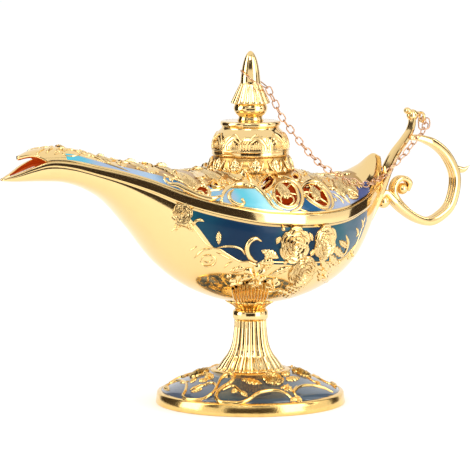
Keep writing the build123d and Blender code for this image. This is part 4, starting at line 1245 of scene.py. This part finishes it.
cover_strokes = [
    ([(319, 171), (325, 160), (333, 154.5), (339, 157), (341.5, 165), (340.5, 171)], 1.6),
    ([(329, 170), (332.5, 164), (334, 170)], 1.0),
    ([(221.7, 204), (222, 196.7), (225.8, 190), (233.3, 185.5), (243.3, 184.2), (253.3, 186),
      (260, 190.8), (266.7, 197.8), (273.3, 206), (283.3, 210.8)], 2.1),
    ([(233.5, 189.5), (229.2, 194.2), (230, 199.5), (234.2, 203), (240, 204.9), (244.5, 202.8),
      (242.5, 199.6)], 1.8),
    ([(162.5, 177), (168.3, 183.3), (178.3, 185.8), (188.3, 190.8), (200, 196), (211.7, 198.6),
      (221.7, 195.4)], 2.4), ([(163, 173.5), (172, 178.5), (182, 182.5), (190, 188), (196, 192.5)], 1.3),
    ([(166, 183), (164, 178.5), (168.5, 177), (171, 180)], 1.0),
    ([(275, 174.5), (285.8, 177.5), (295, 182.5), (300.8, 190.8), (302.3, 200), (298.8, 208.3),
      (290, 212.0)], 1.7),
    ([(299, 186), (309, 180.6), (320, 184.0), (327.8, 191.7), (332.3, 201.7), (331, 208),
      (325, 210.4)], 1.6), ([(327.5, 188.3), (333.3, 189.2), (341.7, 195.8), (350, 203.3)], 1.6),
    ([(331, 193), (338, 197.5), (344, 204)], 1.1), ([(352, 199), (356, 195), (358, 190)], 1.2),
    ([(205, 192), (212, 190.5), (219, 190), (225, 187)], 1.2),
    ([(196, 184.5), (204, 185), (211, 182), (217, 178.5)], 1.2),
    ([(150, 168), (143, 166.5), (135, 168.5)], 1.2),
    ([(135, 160), (125, 160.5), (116, 158), (106, 160.5)], 1.2),
    ([(103, 161), (93, 156.5), (84, 154), (76, 151)], 1.0),
    ([(130, 172), (118, 167.5), (106, 163.5), (96, 159.5)], 0.9),
    ([(64.5, 151.5), (59.5, 148.5), (56, 151)], 1.1),
    ([(62, 153.5), (66, 149.8), (72, 149.8), (80, 153.4), (72, 156.2), (64, 155), (62, 153.5)], 0.8),
    ([(53, 147.5), (48.5, 150), (46, 153)], 1.2), ([(45, 148), (39, 151.5), (36, 155)], 1.0),
    ([(88, 148.5), (80, 147), (73, 146.2)], 1.2), ([(266, 190.5), (270, 194.5), (272, 200)], 1.2),
    ([(258, 183), (262, 178), (268, 174)], 1.3), ([(297, 207), (302, 210), (308, 211.5)], 0.9),
]
# What fills the windows: thin bars and curls as (pixels, width in mm)
window_strokes = [
    ([(274.5, 188), (279, 190), (283.5, 191.5)], 0.9), ([(283.5, 191.5), (288, 187), (290.5, 183.5)], 0.9),
    ([(283.5, 191.5), (289.5, 193.5), (297.4, 195)], 0.9),
    ([(283.5, 191.5), (280.5, 198), (281.5, 205)], 0.9),
    ([(289, 205.5), (293.4, 202), (293, 197.8), (289.4, 196.5), (287, 199)], 0.9),
    ([(274, 196), (278.5, 196.6), (281, 200)], 0.8), ([(303, 192), (309, 192.6), (315.5, 194)], 0.9),
    ([(315.5, 194), (312, 188.5), (308.6, 184.4)], 0.9),
    ([(315.5, 194), (320.5, 191), (322.6, 189.4)], 0.9),
    ([(315.5, 194), (320.6, 199), (327.6, 203.5)], 0.9), ([(315.5, 194), (314, 199), (314.6, 203)], 0.9),
    ([(306.5, 197), (310.4, 189), (313.4, 184.2)], 0.8),
    ([(262, 187), (266.5, 183.5), (270.5, 180.5)], 0.8),
]
cover_beads = [
    (242.5, 200.2), (171, 180), (221, 201), (262, 193), (278, 176), (335, 200), (324, 187), (229, 183),
    (202, 182), (128, 163),
]
for side, name in both_sides:
    face = on_side(cover_lines, side)
    forms = raised_forms(
        face, seen_on_cover, cover_flowers, cover_leaves, cover_strokes + window_strokes, cover_beads,
        0.8, 0.8, rings=20, around=56,
    )
    for outline in window_outlines:
        forms.append(ridge(face, seen_on_cover(outline + outline[:1]), 1.5, 1.1, steps=90, taper=1.0))
    work = merged(f"raised_work_cover_{name}", forms, gold)


# A ring of acanthus leaves on the collar, cast in one with it.

collar_mean_radius, leaf_count, first_leaf_share = 17.0, 12, 0.35
leaf_low_z, leaf_high_z, bud_low_z, bud_high_z = 98.2, 104.4, 98.0, 100.6


def on_collar(x, z):
    """The collar's cone: x is the way round it and z the height."""
    radius = np.interp(z, [98.0, 99.6, 104.4], [18.3, 17.9, 16.1])
    angle = x / collar_mean_radius
    outward, upward = 0.93, 0.37
    out = np.stack([np.sin(angle) * outward, -np.cos(angle) * outward, np.full_like(angle, upward)], -1)
    return np.stack([radius * np.sin(angle), -radius * np.cos(angle), z], -1), out


leaves = []
half_step = collar_mean_radius * math.pi / leaf_count
for number in range(leaf_count):
    place = 2 * half_step * (number + first_leaf_share)
    leaves.append(leaf(on_collar, (place, leaf_low_z), (place, leaf_high_z), 5.6, notches=3, height=0.8))
    for way in (-1, 1):
        side_line = [(place + way * u, z) for u, z in ((1.2, 98.6), (2.6, 100.6), (3.4, 103.6))]
        leaves.append(ridge(on_collar, side_line, 0.8))
    bud = place + half_step
    leaves.append(leaf(on_collar, (bud, bud_low_z), (bud, bud_high_z), 2.2, notches=0, height=0.7))
acanthus = merged("collar_leaves", leaves, gold)


# Raised work on the foot: a long wavy vine with tendrils, a rose, toothed leaves and small
# flowers that lie over the enamel, cast with the foot and gilded.

slope_r, slope_z = np.array(foot_slope)[::-1].T
slope_inner_radius, slope_outer_radius = 14, 38


def on_foot(x, y):
    """The foot's sloping top at places (x, y) of its plan."""
    x, y = np.broadcast_arrays(np.asarray(x, float), np.asarray(y, float))
    radius, step, skin_rise = np.hypot(x, y), 0.5, 0.03
    fall = np.interp(radius + step, slope_r, slope_z) - np.interp(radius - step, slope_r, slope_z)
    out = np.stack([-fall * x / radius, -fall * y / radius, np.ones_like(x)], -1)
    out /= np.linalg.norm(out, axis=-1, keepdims=True)
    return np.stack([x, y, np.interp(radius, slope_r, slope_z) + skin_rise], -1), out


def in_foot(x, y, z):
    radius = np.hypot(x, y)
    on_slope = (radius > slope_inner_radius) & (radius < slope_outer_radius)
    return on_slope & (z < np.interp(radius, slope_r, slope_z)) & (z > 0)


def seen_on_foot(places):
    """Places (x, y) of the foot's top under pixels of the photograph."""
    return seen(places, in_foot)[:, :2]


foot_vines = [
    ([(163.5, 388.5), (172.9, 382.4), (181, 380.8), (186.2, 384), (185.5, 391), (183, 396.5),
      (188.5, 399.6), (203, 399.2), (212.9, 393), (216.4, 387), (214, 383.6), (208, 383.8), (200, 387.2),
      (191, 392.6)], 1.3),
    ([(215.4, 392.5), (217.5, 386), (221, 378.8), (227.1, 374.3), (232.6, 374.2), (234, 378.4),
      (230, 383.2), (223, 387.6), (217.4, 393), (216.4, 398.4), (222, 403.2), (230, 404.8), (238, 404.8),
      (248.6, 400.2), (260, 393), (273, 390.8), (284.5, 393), (292.5, 399.4)], 1.7),
    ([(222.5, 390.4), (232.6, 386.3), (240, 391.4), (246.5, 397.2)], 1.2),
    ([(294, 392.5), (300, 387), (306.5, 385.6), (318, 386.6), (333, 392.4)], 1.3),
    ([(297.5, 397.6), (293.6, 392), (297, 386)], 1.1),
    ([(293, 371.6), (302, 374), (310, 379.4), (320, 385)], 0.9),
    ([(322, 380.6), (330, 384), (336, 388.6)], 0.8), ([(190, 390.4), (199, 386.4), (207, 385.4)], 1.2),
    ([(203, 375.4), (210, 377.6), (213, 380.4)], 0.9), ([(189, 381.4), (184, 382.8), (180, 383)], 0.9),
]
foot_leaves = [
    ((263, 385), (241, 379.4), 5.4), ((236, 389), (231.5, 393.4), 2.4),
    ((241, 391.4), (247.5, 397.4), 2.8), ((203, 388.5), (192.5, 392.8), 2.6),
    ((281, 376), (290, 372.4), 3.6), ((285, 381), (300, 378), 4.4), ((283, 387), (293, 392), 3.8),
    ((294, 396), (302, 400.6), 2.8), ((296, 398), (290, 401.4), 2.4), ((205, 374), (211.5, 377), 3.4),
    ((196, 378), (190.5, 383), 3.2), ((199, 380), (207, 381.6), 3.4), ((316, 381), (320, 386.4), 2.4),
    ((164, 387), (169, 391), 2.4),
]
foot_flowers = [
    ((273, 379.6), 4.6, rose, 0.4, 1.0), ((287, 388.4), 2.8, daisy, 0.3, 1.0),
    ((199.5, 373.6), 4.4, rose, 0.8, 1.2), ((209, 377.4), 2.4, daisy, 0.2, 1.2),
    ((298, 400), 1.9, daisy, 0.6, 1.0), ((234.6, 391.4), 1.5, daisy, 0.2, 1.0),
]
forms = raised_forms(on_foot, seen_on_foot, foot_flowers, foot_leaves, [], [])
for line, width in foot_vines:
    forms.append(ridge(on_foot, seen_on_foot(line), width, 0.8 * width, steps=9 * len(line), taper=0.6))
forms += [(points * (-1, -1, 1), faces) for points, faces in forms]
foot_work = merged("raised_work_foot", forms, deep_gold)


# Engraving on the lid: a band of pointed arches, each round a lined drop, chased in the dome.

dome_z, dome_r = np.array(lid_profile[7:19]).T[::-1]
dome_radius, arch_count = 16.2, 10
arch_foot_z, arch_side_z, shoulder_rise, arch_rise = 107.6, 109.8, 4.9, 6.6


def on_lid(x, z):
    """The lid's dome: x is the way round it and z the height."""
    step = 0.3
    radius = np.interp(z, dome_z, dome_r)
    fall = (np.interp(z + step, dome_z, dome_r) - radius) / step
    angle = x / dome_radius
    out = np.stack([np.sin(angle), -np.cos(angle), np.broadcast_to(-fall, angle.shape)], -1)
    out /= np.linalg.norm(out, axis=-1, keepdims=True)
    return np.stack([radius * np.sin(angle), -radius * np.cos(angle), z], -1), out


lid_forms = []
half_step = dome_radius * math.pi / arch_count
for number in range(arch_count):
    place = 2 * half_step * (number + 0.5)
    for size in (1.0, 0.72):
        shoulder = (-0.50 * size, arch_foot_z + shoulder_rise * size)
        left = [(-0.90 * size, arch_foot_z), (-0.86 * size, arch_side_z), shoulder]
        whole = left + [(0, arch_foot_z + arch_rise * size)] + [(-u, z) for u, z in left[::-1]]
        line = [(place + half_step * u, z) for u, z in whole]
        lid_forms.append(ridge(on_lid, line, 0.75, 0.5, steps=42, taper=0.8))
    for step in range(-3, 4):
        u = place + step * half_step * 0.14
        line = [(u, 107.9), (u, 109.6), (u, 111.4 - 0.35 * step * step)]
        lid_forms.append(ridge(on_lid, line, 0.42, 0.34, steps=10, taper=0.5))
    u = place + half_step
    line = [(u, 113.6), (u - 0.5, 111.8), (u, 110.4), (u + 0.5, 111.8), (u, 113.6)]
    lid_forms.append(ridge(on_lid, line, 0.6, 0.45, steps=26))
    lid_forms.append(relief(on_lid, (u, 108.8), 0.7, button, rings=6, around=16))
for height, width in ((107.0, 0.9), (105.4, 0.5)):
    around = [(dome_radius * a, height) for a in np.linspace(0, 2 * math.pi, 60)]
    lid_forms.append(ridge(on_lid, around, width, 0.5 * width, steps=240, taper=1.0))
lid_work = merged("engraving_lid", lid_forms, gold, "lid_group")


# The hidden screws, washer and rivets of the CAD: plain steel.

# Its second colour is painted shade in hollows and along open edges
steel = metal("plain steel", (0.55, 0.56, 0.58), (0.2, 0.2, 0.2), 0.3)
for name in ("tie_screw", "screw_washer", "finial_screw", "handle_rivets"):
    nodes[name].data.materials.clear()
    nodes[name].data.materials.append(steel)


# The studio: a pale floor in a white room with two soft lamps. Dark cards and bright windows
# round the lamp are seen only by the polished gold, and give it its dark and bright lines.

white, floor_half_width, floor_glow = (1, 1, 1, 1), 9000, 0.05
floor_paint, tree = surface_finish("pale floor", {
    "Base Color": (0.97, 0.97, 0.97, 1), "Roughness": 0.8, "Emission Color": white,
})
rays = node(tree, "ShaderNodeLightPath").outputs
either = node(
    tree, "ShaderNodeMath", {0: rays["Is Camera Ray"], 1: rays["Is Glossy Ray"]},
    operation="ADD", use_clamp=True,
)
whiter = node(tree, "ShaderNodeMath", {0: either.outputs["Value"], 1: floor_glow}, operation="MULTIPLY")
node(tree, "Principled BSDF", {"Emission Strength": whiter.outputs["Value"]})
corners = [(floor_half_width * x, floor_half_width * y, 0) for x, y in ((-1, -1), (1, -1), (1, 1), (-1, 1))]
floor = piece("floor", corners, [(0, 1, 2, 3)], floor_paint, None)

card_paint, tree = surface_finish("dark card", {"Base Color": (0.03, 0.02, 0.015, 1), "Roughness": 1.0})
glow, tree = surface_finish("bright window", {"Emission Color": white, "Emission Strength": 3.2})
# Each card's first and last angle in degrees, lowest and highest place, distance and paint
for name, first, last, low, high, distance, paint in (
    ("card_front", -56, 3, -30, 128, 260, card_paint),
    ("card_front_high", -58, -2, 250, 420, 400, card_paint),
    ("card_left", -84, -66, 125, 420, 330, card_paint),
    ("card_left_back", -163, -117, -30, 300, 300, card_paint),
    ("card_right", 84, 104, -30, 420, 330, card_paint),
    ("card_right_front", 44, 58, 110, 420, 330, card_paint),
    ("card_over", -50, 30, 470, 500, 260, card_paint),
    ("window_right", 10, 36, -30, 400, 300, glow),
    ("window_left", -116, -88, 20, 400, 300, glow),
):
    turns = np.radians(np.linspace(first, last, 13))
    corners = [(distance * math.sin(a), -distance * math.cos(a), z) for z in (low, high) for a in turns]
    card = piece(name, corners, grid_faces(2, len(turns)), paint, None, False)
    card.visible_camera = card.visible_shadow = card.visible_diffuse = False


def lamp(name, place, power):
    """A square soft lamp at a place in mm, turned to the middle of the body."""
    size, aim = 300, (0, 0, 70)
    light = bpy.data.lights.new(name, "AREA")
    light.size, light.energy = size * mm, power
    made = bpy.data.objects.new(name, light)
    bpy.context.scene.collection.objects.link(made)
    made.location = np.array(place) * mm
    made.rotation_euler = (Vector(aim) * mm - made.location).to_track_quat("-Z", "Y").to_euler()
    return made


lamps = [lamp("key lamp", (-420, -520, 620), 2.2), lamp("fill lamp", (520, -420, 380), 1.0)]

world = bpy.data.worlds.new("white room")
bpy.context.scene.world = world
world.use_nodes = True
node(world.node_tree, "Background", {"Color": white, "Strength": 1.0})
bpy.context.scene.view_settings.view_transform = "Standard"


# The camera: the photograph's viewing angle, from far off with a long lens.

place = (view_aim + view_back * camera_distance) * mm
camera_data = bpy.data.cameras.new("camera")
camera_data.sensor_width, camera_data.lens = camera_sensor, camera_lens
camera = bpy.data.objects.new("camera", camera_data)
bpy.context.scene.collection.objects.link(camera)
camera.matrix_world = Matrix([
    *((view_right[i], view_up[i], view_back[i], place[i]) for i in range(3)), (0, 0, 0, 1),
])
bpy.context.scene.camera = camera
